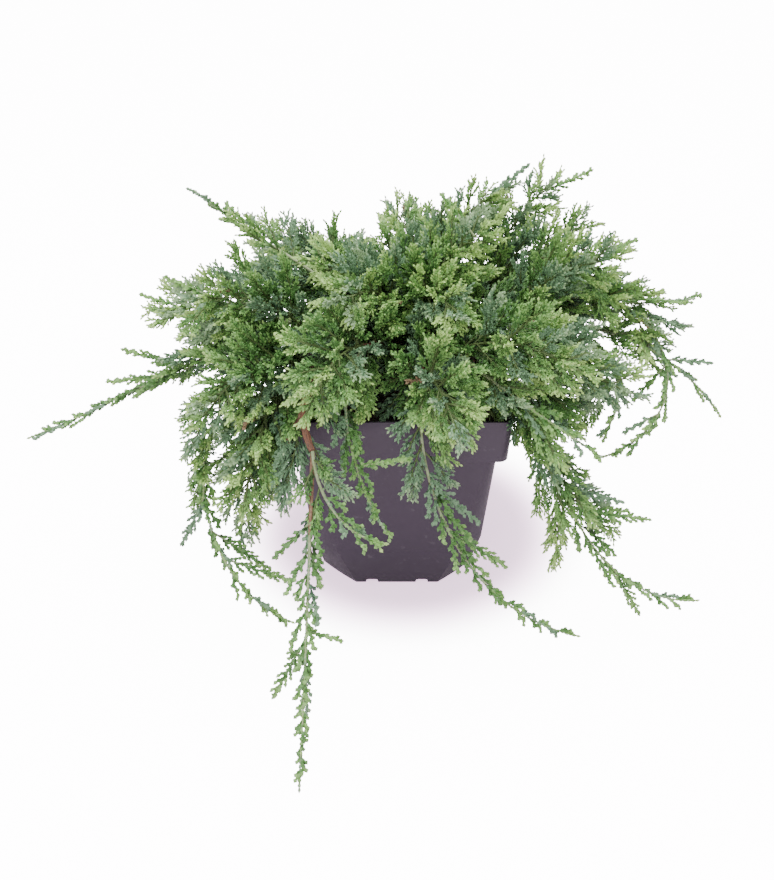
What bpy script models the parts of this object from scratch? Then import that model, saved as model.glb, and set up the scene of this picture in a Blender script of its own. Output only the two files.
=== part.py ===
"""Creeping juniper in a square nursery pot: the pot, its soil, the trunk, the boughs and each mass of
foliage as solids. Metres, +Z up, the origin at the middle of the pot's underside, -Y the front."""
import math
import random
from collections import namedtuple
from functools import partial

import bmesh
import bpy
import numpy as np

# ---------------------------------------------------------------- driving sizes
GAP = 0.0003                # every solid keeps this far from its neighbours
POT_HEIGHT = 0.150
RIM_HALF = 0.0750           # half the pot's width across the rim's top edge
RIM_DEPTH = 0.033           # the band round the pot's mouth
RIM_STEP = 0.0055           # how far the band stands out from the wall under it
WALL = 0.0016
FLOOR_Z = 0.0030            # underside of the raised floor
FLOOR_THICK = 0.0020
FOOT_Z = 0.033              # under this height the walls draw in to the feet
SOIL_DROP = 0.012           # from the rim down to the soil
SOIL_TOP = POT_HEIGHT - SOIL_DROP
NOTCH_WIDE = 0.009
NOTCH_HIGH = 0.003
NOTCH_AT = 0.018            # the notches' places either side of each wall's middle
NOTCH_INSIDE = 0.046        # a notch is cut from here out past the wall
NOTCH_OUTSIDE = 0.070
PAD_RADIUS = 0.016          # the flat boss under the floor that the pot's mount is on
DRAIN_RADIUS = 0.0045
DRAIN_SIDES = 8
DRAIN_AT = 0.034            # from the pot's middle towards each corner
CUT_PAST = 0.010            # how far a cutter reaches past what it cuts
ROUND_SIDES = 16
POT_SHARP = 25              # edges over this angle, in degrees, are shaded sharp
LIMB_SHARP = 50
SOIL_SHARP = 30

# The pot's outside from its feet up: height, half width, corner cut, and how round the corners are.
POT_PROFILE = (
    (0.0, 0.0540, 0.0245, 0.10),
    (FOOT_Z, 0.0604, 0.0180, 0.25),
    (POT_HEIGHT - RIM_DEPTH, RIM_HALF - 0.0025 - RIM_STEP, 0.0080, 1.0),
    (POT_HEIGHT - RIM_DEPTH + 0.0008, RIM_HALF - 0.0020, 0.0060, 1.0),
    (POT_HEIGHT, RIM_HALF, 0.0055, 1.0),
)
# The levels of the pot's inside, down from the rim.
INNER_LEVELS = (POT_HEIGHT, POT_HEIGHT - RIM_DEPTH - WALL, FOOT_Z, FLOOR_Z + FLOOR_THICK)
CORNER_INSET = 0.6          # how much a corner's cut shrinks for each metre that a ring is inset

TRUNK_FOOT = (0.003, 0.005)
TRUNK_TOP = (0.006, 0.008)
TRUNK_HIGH = 0.036          # from the soil to the fork
TRUNK_RADIUS = 0.0085
TRUNK_FLARE = 1.7           # the root flare's width over the trunk's
TRUNK_FLARE_FADE = 7.0      # how soon the flare is gone
TRUNK_TIP_RADIUS = 0.0055
TRUNK_LEVELS = (0, 0.08, 0.2, 0.4, 0.7, 1)    # where its rings are, over its height
TRUNK_SIDES = 12

BOUGH_RADIUS = 0.0038
BOUGH_TIP_RADIUS = 0.0026
BOUGH_SIDES = 6
STEM_RADIUS = 0.0014
STEM_TIP_RADIUS = 0.0007
STEM_SIDES = 3
SEAT_GAP = 1.3 * GAP        # between a limb's end and what carries it
SEAT_FROM = 0.020           # a limb is brought in from here
SEAT_TO = -0.002            # and no nearer than this
SEAT_STEP = 0.0001
SPACE_MARGIN = 0.0006       # kept free on each side of the border between two masses
POT_MARGIN = 0.0025
FLOOR_MARGIN = 0.005
SEED = 11

Bough = namedtuple("Bough", "name high heading slope reach")
Shoot = namedtuple("Shoot", "name foot heading slope reach spray count split")

# Each bough: its height on the trunk, then the headings and the slopes in degrees at its start, middle
# and end (0 or 360 points to the right, 270 to the front, a slope under 0 falls), and its length.
BOUGHS = (
    Bough("bough_right", 0.019, (362, 358, 355), (40, 24, 8), 0.068),
    Bough("bough_back_right", 0.011, (38, 36, 40), (38, 24, 10), 0.062),
    Bough("bough_back", 0.021, (78, 80, 84), (40, 24, 12), 0.062),
    Bough("bough_back_left", 0.012, (120, 124, 120), (38, 24, 10), 0.062),
    Bough("bough_left_high", 0.026, (158, 157, 155), (42, 34, 30), 0.066),
    Bough("bough_left", 0.018, (190, 194, 192), (42, 24, 6), 0.066),
    Bough("bough_left_low", 0.006, (206, 216, 220), (30, 22, 6), 0.072),
    Bough("bough_front_left", 0.013, (232, 238, 300), (44, 2, -34), 0.148),
    Bough("bough_front", 0.025, (254, 244, 236), (44, 28, 10), 0.064),
    Bough("bough_front_middle", 0.010, (286, 278, 272), (48, 26, -14), 0.074),
    Bough("bough_front_right", 0.022, (306, 301, 300), (44, 28, 6), 0.062),
    Bough("bough_right_low", 0.007, (328, 320, 315), (36, 22, 0), 0.070),
)

# Each shoot is a mass of foliage round one stem: what its foot meets, headings and slopes as above, its
# length, the length of its largest sprays, how many it has, and where it is split in two (0 is nowhere):
# the inner part lies in the crown and the outer part hangs clear.
SHOOTS = (
    Shoot("shoot_left", "bough_left", (190, 186, 190), (-2, -25, -17), 0.206, 0.044, 10, 0),
    Shoot("shoot_left_upper", "bough_left", (176, 176, 180), (24, 4, -8), 0.105, 0.046, 6, 0),
    Shoot("shoot_left_high", "bough_left_high", (156, 156, 168), (28, 24, 41), 0.107, 0.036, 6, 0),
    Shoot("shoot_left_low", "bough_left_low", (176, 275, 344), (4, -46, -11), 0.227, 0.044, 11, 0.45),
    Shoot("shoot_left_inner", "bough_left_low", (232, 240, 266), (0, -58, -54), 0.132, 0.044, 7, 0),
    Shoot("shoot_front_left", "bough_front_left", (269, 269, 267), (-38, -35, -45), 0.200, 0.034, 10, 0),
    Shoot("shoot_front_short", "bough_front_left", (275, 312, 350), (-34, -30, 4), 0.081, 0.030, 4, 0),
    Shoot("shoot_front_pale", "bough_front", (236, 286, 311), (-14, -46, -36), 0.127, 0.034, 6, 0),
    Shoot("shoot_front", "bough_front_middle", (256, 319, 346), (-50, -49, -1), 0.206, 0.036, 10, 0.45),
    Shoot("shoot_front_right", "bough_front_right", (296, 318, 328), (0, -14, -20), 0.122, 0.038, 7, 0),
    Shoot("shoot_right_low", "bough_right_low", (312, 330, 342), (-24, -57, 24), 0.219, 0.042, 11, 0.45),
    Shoot("shoot_right_inner", "bough_right", (362, 314, 200), (6, -29, -46), 0.136, 0.038, 6, 0),
    Shoot("shoot_right_curl", "bough_right", (384, 302, 145), (34, -31, -30), 0.226, 0.040, 9, 0.5),
    Shoot("shoot_right", "bough_right", (356, 352, 332), (7, -22, -52), 0.170, 0.038, 8, 0),
    Shoot("shoot_right_upper", "bough_right", (374, 352, 376), (26, 2, 0), 0.128, 0.044, 7, 0),
    Shoot("shoot_back_right", "bough_back_right", (34, 36, 30), (14, -16, -40), 0.175, 0.048, 10, 0),
    Shoot("shoot_back", "bough_back", (84, 80, 76), (14, -14, -44), 0.165, 0.048, 10, 0),
    Shoot("shoot_back_left", "bough_back_left", (122, 126, 132), (14, -16, -40), 0.170, 0.048, 10, 0),
    Shoot("tuft_top_front", "trunk", (292, 292, 290), (74, 36, 4), 0.088, 0.054, 7, 0),
    Shoot("tuft_top_right", "trunk", (340, 345, 350), (80, 60, 40), 0.085, 0.054, 7, 0),
    Shoot("tuft_top_back_right", "trunk", (50, 34, 14), (84, 52, 28), 0.104, 0.054, 8, 0),
    Shoot("tuft_top_back", "trunk", (110, 105, 100), (76, 44, 16), 0.066, 0.054, 7, 0),
    Shoot("tuft_top_left", "trunk", (190, 186, 180), (78, 44, 12), 0.074, 0.054, 7, 0),
    Shoot("tuft_top_front_left", "trunk", (240, 240, 236), (74, 38, 8), 0.088, 0.054, 7, 0),
    Shoot("tuft_right", "bough_right", (345, 345, 345), (70, 40, 20), 0.075, 0.054, 7, 0),
    Shoot("tuft_back_right", "bough_back_right", (20, 15, 10), (58, 34, 14), 0.082, 0.054, 8, 0),
    Shoot("tuft_back_right_high", "bough_back_right", (56, 44, 28), (62, 46, 38), 0.092, 0.054, 7, 0),
    Shoot("tuft_back", "bough_back", (100, 104, 106), (50, 22, 0), 0.064, 0.054, 7, 0),
    Shoot("tuft_back_left", "bough_back_left", (140, 146, 150), (46, 22, -4), 0.066, 0.054, 7, 0),
    Shoot("tuft_left", "bough_left", (205, 208, 210), (60, 30, 6), 0.075, 0.054, 7, 0),
    Shoot("tuft_left_low", "bough_left_low", (226, 228, 232), (34, 6, -30), 0.080, 0.054, 7, 0),
    Shoot("tuft_left_front", "bough_left_low", (240, 244, 250), (10, -30, -62), 0.092, 0.054, 7, 0),
    Shoot("tuft_front", "bough_front", (244, 246, 246), (26, 4, -26), 0.066, 0.054, 7, 0),
    Shoot("tuft_front_middle", "bough_front_middle", (280, 284, 288), (48, 12, -26), 0.062, 0.054, 7, 0),
    Shoot("tuft_front_right", "bough_front_right", (318, 322, 326), (36, 12, -14), 0.080, 0.054, 7, 0),
    Shoot("tuft_right_low", "bough_right_low", (330, 334, 338), (30, 6, -18), 0.082, 0.054, 7, 0),
)


# ---------------------------------------------------------------- limbs
def between(values, t):
    """The smooth value at t (0 to 1) through three values at its start, middle and end."""
    start, middle, end = values
    return start * (1 - t) * (1 - 2 * t) + middle * 4 * t * (1 - t) + end * t * (2 * t - 1)


def heading_vector(heading, slope):
    turn, rise = math.radians(heading), math.radians(slope)
    return np.array([math.cos(rise) * math.cos(turn), math.cos(rise) * math.sin(turn), math.sin(rise)])


def limb_path(start, heading, slope, reach, step=0.020):
    """Points along a limb that leaves start and turns evenly through its headings and slopes."""
    count = max(3, round(reach / step))
    points = [np.array(start, float)]
    for i in range(count):
        t = (i + 0.5) / count
        points.append(points[-1] + reach / count * heading_vector(between(heading, t), between(slope, t)))
    return points


def trunk_point(high):
    """The middle of the trunk at a height over the soil."""
    t = high / TRUNK_HIGH
    foot, top = np.array(TRUNK_FOOT), np.array(TRUNK_TOP)
    return np.append(foot + (top - foot) * t, SOIL_TOP + GAP + high)


def trunk_radius(high):
    t = high / TRUNK_HIGH
    flare = (TRUNK_FLARE - 1) * math.exp(-t * TRUNK_FLARE_FADE)
    return TRUNK_RADIUS * (1 + flare) * (1 - t) + TRUNK_TIP_RADIUS * t


def gap_to_trunk(points):
    """How far each point is from the trunk's surface."""
    high = np.clip(points[:, 2] - SOIL_TOP - GAP, 0, TRUNK_HIGH)
    middles = np.array([trunk_point(level) for level in high])
    radii = np.array([trunk_radius(level) for level in high])
    beside = np.linalg.norm(points[:, :2] - middles[:, :2], axis=1) - radii
    above = points[:, 2] - middles[:, 2]
    return np.where(above > 0, np.hypot(above, np.maximum(beside, 0)), beside)


def gap_to_tip(points, tip, ahead, radius):
    """How far each point is from the end of a limb."""
    above = (points - tip) @ ahead
    beside = np.linalg.norm(points - tip - above[:, None] * ahead, axis=1) - radius
    return np.where(above > 0, np.hypot(above, np.maximum(beside, 0)), beside)


def round_ring(point, ahead, radius, sides):
    """A ring of points square to a direction, the first of them on top."""
    up = np.array([0.0, 0.0, 1.0])
    upright = abs(ahead[2]) > 0.98
    across = perpendicular(np.array([1.0, 0, 0]), ahead) if upright else unit(np.cross(ahead, up))
    over = np.cross(across, ahead)
    turns = [2 * math.pi * k / sides for k in range(sides)]
    return [point + radius * (over * math.cos(a) + across * math.sin(a)) for a in turns]


def seated(place, off, limb, radius, sides, gap_to):
    """The start of a limb, brought in along off towards place until its end is just clear of what
    carries it."""
    path = limb_path((0, 0, 0), limb.heading, limb.slope, limb.reach)
    ring = np.array(round_ring(path[0], unit(path[1]), radius, sides))
    ring = np.concatenate([ring, ring / 2, path[:1]])
    far = SEAT_FROM
    while far > SEAT_TO and gap_to(place + off * (far - SEAT_STEP) + ring).min() > SEAT_GAP:
        far -= SEAT_STEP
    return place + off * far


def bough_path(bough):
    out = heading_vector(bough.heading[0], 0)
    start = seated(trunk_point(bough.high), out, bough, BOUGH_RADIUS, BOUGH_SIDES, gap_to_trunk)
    return limb_path(start, bough.heading, bough.slope, bough.reach)


def stem_starts(paths):
    """Where each shoot's stem starts. Stems that share a foot stand in a ring just clear of their bough's
    tip, or of the trunk's top, in the order in which they turn away from it."""
    starts = {}
    for foot in dict.fromkeys(shoot.foot for shoot in SHOOTS):
        if foot == "trunk":
            tip, ahead, gap_to = trunk_point(TRUNK_HIGH), np.array([0.0, 0.0, 1.0]), gap_to_trunk
        else:
            tip, ahead = along(paths[foot], 1.0)
            gap_to = partial(gap_to_tip, tip=tip, ahead=ahead, radius=BOUGH_TIP_RADIUS)
        across = perpendicular(np.array([0.1, 1.0, 0.0]), ahead)
        over = np.cross(ahead, across)
        shoots = {shoot.name: shoot for shoot in SHOOTS if shoot.foot == foot}
        outs = {name: heading_vector(shoot.heading[0], shoot.slope[0]) for name, shoot in shoots.items()}
        turns = {name: math.atan2(out @ over, out @ across) for name, out in outs.items()}
        order = sorted(turns, key=turns.get)
        pitch = 2 * math.pi / len(order)
        drift = [turns[name] - pitch * k for k, name in enumerate(order)]
        first = math.atan2(sum(map(math.sin, drift)), sum(map(math.cos, drift)))
        ring = 0.0 if len(order) == 1 else (STEM_RADIUS + 1.2 * GAP) / math.sin(pitch / 2)
        for k, name in enumerate(order):
            turn = first + pitch * k
            place = tip + ring * (across * math.cos(turn) + over * math.sin(turn))
            starts[name] = seated(place, ahead, shoots[name], STEM_RADIUS, STEM_SIDES, gap_to)
    return starts


def along(points, t):
    """The point and the direction at t (0 to 1) of the way along a path."""
    place = t * (len(points) - 1)
    i = min(int(place), len(points) - 2)
    step = points[i + 1] - points[i]
    return points[i] + step * (place - i), unit(step)


def unit(vector):
    return vector / np.linalg.norm(vector)


def perpendicular(vector, direction):
    """The part of a vector that is square to a direction, at length 1."""
    return unit(vector - direction * float(np.dot(vector, direction)))


def shoot_parts(shoot, start):
    """The stem of each mass of a shoot: one, or an inner and an outer one with a gap between them."""
    path = limb_path(start, shoot.heading, shoot.slope, shoot.reach)
    if not shoot.split:
        return [(shoot.name, path, 0.0, 1.0)]
    cut = round(shoot.split * (len(path) - 1))
    outer = path[cut:]
    outer[0] = outer[0] + unit(outer[1] - outer[0]) * 2 * GAP
    t = cut / (len(path) - 1)
    return [(shoot.name + "_inner", path[:cut + 1], 0.0, t), (shoot.name + "_outer", outer, t, 1.0)]


# ---------------------------------------------------------------- sprays
# A spray is a flat toothed blade, with some teeth on each side that point forward.
TUFT_TEETH = 3
SHOOT_TEETH = 2
TOOTH_FORWARD = 0.85        # how far a tooth points forward for each metre that it stands out
NOTCH_DEPTH = 0.20          # the blade's half width between two teeth, over its half width at them
SPRAY_WIDTH = 0.40          # half width over length
SPRAY_THICK = 0.0011        # half the thickness at the midrib
SPRAY_DROOP = 0.16          # how far the tip bends down, over its length
SPRAY_ANGLES = (38, 58)     # between a spray and its stem, in degrees
TUFT_TURN = 137.5           # from one spray to the next round an upright stem
SPRAY_FITS = (1.0, 0.85, 0.7, 0.55)    # tried in turn until the spray keeps to its mass's space
CORE_RADIUS = 0.026         # the dense inside of a tuft
CORE_JAGS = (0.30, 1.0)     # its corners stand at anything between these shares of that
CORE_LONG = 0.45            # how much longer it is along the stem
CORE_LEAST = 0.004
CORE_AT = 0.62              # the core's middle, along the tuft's stem
CORE_MARGIN = 0.0016
ROOT_SINK = 0.0012          # a spray starts this far behind its stem's middle


def blade(root, forward, face, length, teeth):
    """The corners and faces of one spray. Its rim runs from the root up each side to the tip, in and out
    round the teeth. A ridge of points, one to a tooth, stands on each face, and triangles join the two."""
    side = np.cross(face, forward)
    flat = [(-ROOT_SINK, 0.0, 0.0)]
    for hand in (1, -1):
        for i in range(teeth):
            far = (i + 0.15 + 0.35 * (hand > 0)) / (teeth + 0.5)
            out = SPRAY_WIDTH * length * math.sin(math.pi * (0.28 + 0.68 * far))
            tip_far = min(0.96, far + (0.10 + TOOTH_FORWARD * out / length) * (1 - 0.35 * far))
            flat.append((far * length, hand * NOTCH_DEPTH * out, 0.0))
            flat.append((tip_far * length, hand * out, 0.0))
    tip = len(flat)
    flat.append((length, 0.0, 0.0))
    for lift in (1, -1):
        for i in range(teeth):
            far = (i + 0.62) / (teeth + 0.5)
            flat.append((far * length, 0.0, lift * SPRAY_THICK * (1 - 0.5 * far)))
    corners = []
    for far, out, lift in flat:
        droop = SPRAY_DROOP * length * max(0.0, far / length) ** 2
        corners.append(root + forward * far + side * out + face * (lift - droop))
    faces = []
    for hand in (0, 1):
        rim = list(range(1 + 2 * teeth * hand, 1 + 2 * teeth * (hand + 1)))
        for lift in (0, 1):
            ridge = list(range(tip + 1 + teeth * lift, tip + 1 + teeth * (lift + 1)))
            strip = [(0, rim[0], ridge[0]), (rim[-1], tip, ridge[-1])]
            for i in range(teeth):
                notch, tooth = rim[2 * i], rim[2 * i + 1]
                strip.append((notch, tooth, ridge[i]))
                if i + 1 < teeth:
                    strip.append((tooth, rim[2 * i + 2], ridge[i]))
                    strip.append((rim[2 * i + 2], ridge[i + 1], ridge[i]))
            faces += [tri if hand != lift else tri[::-1] for tri in strip]
    return corners, faces


def is_tuft(shoot):
    return shoot.name.startswith("tuft")


def spray_place(shoot, path, t, i, chance):
    """Root, direction and face of spray i, t of the way along its stem. Sprays stand on alternate sides of
    a trailing shoot, with their faces up and out, and all round the stem of a tuft."""
    point, ahead = along(path, t)
    outward = np.array([point[0], point[1], 0.0]) * 8
    face = perpendicular(np.array([0.0, 0.0, 1.0]) + outward, ahead)
    side = np.cross(face, ahead)
    if i == shoot.count - 1:
        return point, ahead, face
    if is_tuft(shoot):
        turn = math.radians(i * TUFT_TURN + chance.uniform(-25, 25))
    else:
        turn = math.radians(180 * (i % 2) + chance.uniform(-28, 28))
    lean = math.radians(chance.uniform(*SPRAY_ANGLES))
    out = side * math.cos(turn) + face * math.sin(turn)
    forward = ahead * math.cos(lean) + out * math.sin(lean)
    return point, forward, perpendicular(np.array([0.0, 0.0, 1.2]) + outward, forward)


def spray_length(shoot, t):
    """Sprays are longest a third of the way along a stem and short at its tip."""
    return shoot.spray * (0.74 + 0.26 * math.sin(math.pi * min(1, t * 1.5)) - 0.26 * max(0, t - 0.4) / 0.6)


# ---------------------------------------------------------------- each mass's own space
def distance_to_path(points, path):
    """The distance of each point to a path."""
    best = np.full(len(points), np.inf)
    for start, end in zip(path, path[1:]):
        run = end - start
        t = np.clip((points - start) @ run / (run @ run), 0, 1)
        best = np.minimum(best, np.linalg.norm(points - start - t[:, None] * run, axis=1))
    return best


def keeps_to_space(points, own, stems, limbs, margin=SPACE_MARGIN):
    """Whether points are nearer to their own stem than to any other, and clear of limbs, pot and floor."""
    if points[:, 2].min() < FLOOR_MARGIN:
        return False
    over_pot = np.abs(points[:, :2]).max(axis=1) < RIM_HALF + POT_MARGIN
    if (over_pot & (points[:, 2] < POT_HEIGHT + POT_MARGIN)).any():
        return False
    mine = distance_to_path(points, stems[own])
    for name, path in stems.items():
        if name != own and (distance_to_path(points, path) < mine + 2 * margin).any():
            return False
    return not any((distance_to_path(points, path) < radius + 2 * margin).any() for path, radius in limbs)


def mass_sprays(shoot, name, path, begin, end, stems, limbs):
    """The blades of one mass that keep to its space."""
    chance = random.Random(f"{SEED} {name}")
    teeth = TUFT_TEETH if is_tuft(shoot) else SHOOT_TEETH
    blades = []
    for i in range(shoot.count):
        t = (i + 0.8) / shoot.count if i < shoot.count - 1 else 1 - 0.55 * shoot.spray / shoot.reach
        if not begin <= t <= end:
            continue
        near = (t - begin) / (end - begin)
        for fit in SPRAY_FITS:
            root, forward, face = spray_place(shoot, path, near, i, chance)
            length = spray_length(shoot, t) * fit * chance.uniform(0.92, 1.08)
            corners, faces = blade(root, forward, face, length, teeth)
            middles = [sum(corners[c] for c in tri) / 3 for tri in faces]
            if keeps_to_space(np.array(corners + middles), name, stems, limbs):
                blades.append((corners, faces))
                break
    return blades


def core(name, path, stems, limbs):
    """The dense inside of a tuft: a jagged ball round its stem, long along the stem, and drawn in wherever
    it would leave the tuft's space."""
    chance = random.Random(f"{SEED} core {name}")
    mesh = bmesh.new()
    bmesh.ops.create_icosphere(mesh, subdivisions=2, radius=1.0)
    middle, ahead = along(path, CORE_AT)
    for vert in mesh.verts:
        out = np.array(vert.co)
        out = out + ahead * float(out @ ahead) * CORE_LONG
        for reach in np.linspace(CORE_RADIUS * chance.uniform(*CORE_JAGS), CORE_LEAST, 10):
            point = middle + out * reach
            if keeps_to_space(point[None], name, stems, limbs, CORE_MARGIN):
                break
        vert.co = point
    mesh.verts.index_update()
    corners = [np.array(vert.co) for vert in mesh.verts]
    faces = [tuple(vert.index for vert in face.verts) for face in mesh.faces]
    mesh.free()
    return corners, faces


# ---------------------------------------------------------------- building
def clear_scene():
    for item in list(bpy.data.objects):
        bpy.data.objects.remove(item, do_unlink=True)


def material(name, color, roughness):
    mat = bpy.data.materials.new(name)
    mat.use_nodes = True
    shader = mat.node_tree.nodes["Principled BSDF"]
    shader.inputs["Base Color"].default_value = (*color, 1.0)
    shader.inputs["Roughness"].default_value = roughness
    shader.inputs["Metallic"].default_value = 0.0
    return mat


def add_mesh(name, corners, faces, mat, smooth_angle=0):
    mesh = bpy.data.meshes.new(name)
    mesh.from_pydata([tuple(corner) for corner in corners], [], faces)
    mesh.validate()
    item = bpy.data.objects.new(name, mesh)
    bpy.context.scene.collection.objects.link(item)
    mesh.materials.append(mat)
    if smooth_angle:
        mesh.shade_smooth()
        mesh.set_sharp_from_angle(angle=math.radians(smooth_angle))
    return item


def loft(rings, halve=False):
    """Corners and faces of a closed body through rings of points, each ring seen from above turning left,
    from the first ring's cap to the last one's. Where halve is set each side face is cut in two along the
    diagonal that rises to the left, so that two bodies with the same rings have the same faces."""
    corners = [point for ring in rings for point in ring]
    size = len(rings[0])
    faces = [tuple(reversed(range(size))), tuple(range(len(corners) - size, len(corners)))]
    for level in range(len(rings) - 1):
        low, high = level * size, (level + 1) * size
        rises = corners[high][2] > corners[low][2]
        for i in range(size):
            j = (i + 1) % size
            if not halve:
                faces.append((low + i, low + j, high + j, high + i))
            elif rises:
                faces += [(low + i, low + j, high + j), (low + i, high + j, high + i)]
            else:
                faces += [(low + i, low + j, high + i), (low + j, high + j, high + i)]
    return corners, faces


def tube(path, radii, sides):
    """A tapering limb round a path, with flat ends square to it."""
    rings = []
    for i, point in enumerate(path):
        ahead = unit(path[min(i + 1, len(path) - 1)] - path[max(i - 1, 0)])
        rings.append(round_ring(point, ahead, radii[i], sides))
    return loft(rings)


def square_ring(half, corner, round_out, z, points=4):
    """A square with cut corners. round_out is 0 for a flat cut and 1 for a quarter circle."""
    ring = []
    for quarter in range(4):
        turn = math.radians(90 * quarter)
        for k in range(points):
            a = math.radians(90 * k / (points - 1))
            round_x, round_y = math.cos(a), math.sin(a)
            flat = k / (points - 1)
            x = half - corner + corner * ((1 - flat) * (1 - round_out) + round_x * round_out)
            y = half - corner + corner * (flat * (1 - round_out) + round_y * round_out)
            ring.append((x * math.cos(turn) - y * math.sin(turn), x * math.sin(turn) + y * math.cos(turn), z))
    return ring


def pot_half(z):
    """Half width, corner cut and roundness of the pot's outside at a height."""
    for (z0, *low), (z1, *high) in zip(POT_PROFILE, POT_PROFILE[1:]):
        if z <= z1:
            t = (z - z0) / (z1 - z0)
            return [a + (b - a) * t for a, b in zip(low, high)]
    return list(POT_PROFILE[-1][1:])


def inside_ring(z, inset):
    """The pot's inside, or a ring inset further, at a height between the inside's own corners."""
    for high, low in zip(INNER_LEVELS, INNER_LEVELS[1:]):
        if z >= low or low == INNER_LEVELS[-1]:
            t = (z - low) / (high - low)
            half, corner, round_out = (a + (b - a) * t for a, b in zip(pot_half(low), pot_half(high)))
            return square_ring(half - inset, corner - inset * CORNER_INSET, round_out, z)


def cut(item, cutters, name):
    """Cuts a collection's bodies out of an item."""
    change_by_collection(item, cutters, "DIFFERENCE", name)


def join(item, parts, name):
    change_by_collection(item, parts, "UNION", name)


def change_by_collection(item, parts, operation, name):
    group = bpy.data.collections.new(name)
    bpy.context.scene.collection.children.link(group)
    for part in parts:
        bpy.context.scene.collection.objects.unlink(part)
        group.objects.link(part)
        part.hide_render = True
        part.display_type = "WIRE"
    boolean = item.modifiers.new(name, "BOOLEAN")
    boolean.operation = operation
    boolean.operand_type = "COLLECTION"
    boolean.collection = group
    boolean.solver = "MANIFOLD"
    result = bpy.data.meshes.new_from_object(item.evaluated_get(bpy.context.evaluated_depsgraph_get()))
    item.modifiers.remove(boolean)
    item.data = result
    for part in list(group.objects):
        bpy.data.objects.remove(part, do_unlink=True)
    bpy.data.collections.remove(group)


def largest_body(item):
    """Drops every loose scrap and every inner shell of a joined mesh."""
    mesh = bmesh.new()
    mesh.from_mesh(item.data)
    mesh.verts.ensure_lookup_table()
    left = set(mesh.verts)
    shells = []
    while left:
        shell = set()
        edge_of = [left.pop()]
        while edge_of:
            vert = edge_of.pop()
            shell.add(vert)
            for edge in vert.link_edges:
                other = edge.other_vert(vert)
                if other in left:
                    left.remove(other)
                    edge_of.append(other)
        shells.append(shell)
    keep = max(shells, key=len)
    bmesh.ops.delete(mesh, geom=[vert for vert in mesh.verts if vert not in keep], context="VERTS")
    bmesh.ops.triangulate(mesh, faces=mesh.faces)
    mesh.to_mesh(item.data)
    mesh.free()


def build_pot(mat):
    outer = [square_ring(half, corner, round_out, z) for z, half, corner, round_out in POT_PROFILE]
    inner = [inside_ring(z, WALL) for z in INNER_LEVELS]
    pot = add_mesh("pot", *loft(outer + inner, halve=True), mat)
    cutters = [add_mesh("under", *loft([inside_ring(-CUT_PAST, WALL), inside_ring(FLOOR_Z, WALL)]), mat)]
    for quarter in range(4):
        for at in (-NOTCH_AT, NOTCH_AT):
            cutters.append(notch_box(quarter, at, mat))
    cut(pot, cutters, "notches")
    pad = [turned_ring(PAD_RADIUS, z) for z in (0.0, FLOOR_Z + FLOOR_THICK / 2)]
    join(pot, [add_mesh("pad", *loft(pad), mat)], "pad")
    drains = []
    for quarter in range(4):
        a = math.radians(45 + 90 * quarter)
        middle = (DRAIN_AT * math.cos(a), DRAIN_AT * math.sin(a))
        rings = [turned_ring(DRAIN_RADIUS, z, middle, DRAIN_SIDES) for z in (-CUT_PAST, 2 * CUT_PAST)]
        drains.append(add_mesh("drain", *loft(rings), mat))
    cut(pot, drains, "drains")
    largest_body(pot)
    pot.data.shade_smooth()
    pot.data.set_sharp_from_angle(angle=math.radians(POT_SHARP))
    return pot


def notch_box(quarter, at, mat):
    """A short cut in the pot's bottom edge between its feet."""
    turn = math.radians(90 * quarter)
    corners = []
    begin, end = at - NOTCH_WIDE / 2, at + NOTCH_WIDE / 2
    outline = ((NOTCH_INSIDE, begin), (NOTCH_OUTSIDE, begin), (NOTCH_OUTSIDE, end), (NOTCH_INSIDE, end))
    for z in (-CUT_PAST, NOTCH_HIGH):
        for x, y in outline:
            across = x * math.cos(turn) - y * math.sin(turn)
            corners.append((across, x * math.sin(turn) + y * math.cos(turn), z))
    return add_mesh("notch", *loft([corners[:4], corners[4:]]), mat)


def turned_ring(radius, z, middle=(0.0, 0.0), sides=ROUND_SIDES):
    turns = [2 * math.pi * k / sides for k in range(sides)]
    return [(middle[0] + radius * math.cos(a), middle[1] + radius * math.sin(a), z) for a in turns]


def build_soil(mat):
    levels = (INNER_LEVELS[3] + GAP, INNER_LEVELS[2], INNER_LEVELS[1], SOIL_TOP)
    add_mesh("soil", *loft([inside_ring(z, WALL + GAP) for z in levels], halve=True), mat, SOIL_SHARP)


def build_trunk(mat):
    rings = []
    for high in [TRUNK_HIGH * level for level in TRUNK_LEVELS]:
        x, y, z = trunk_point(high)
        rings.append(turned_ring(trunk_radius(high), z, (x, y), TRUNK_SIDES))
    add_mesh("trunk", *loft(rings), mat, LIMB_SHARP)


def taper(start, end, count):
    return [start + (end - start) * i / (count - 1) for i in range(count)]


def build_boughs(mat, paths):
    for bough in BOUGHS:
        path = paths[bough.name]
        radii = taper(BOUGH_RADIUS, BOUGH_TIP_RADIUS, len(path))
        add_mesh(bough.name, *tube(path, radii, BOUGH_SIDES), mat, LIMB_SHARP)


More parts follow.
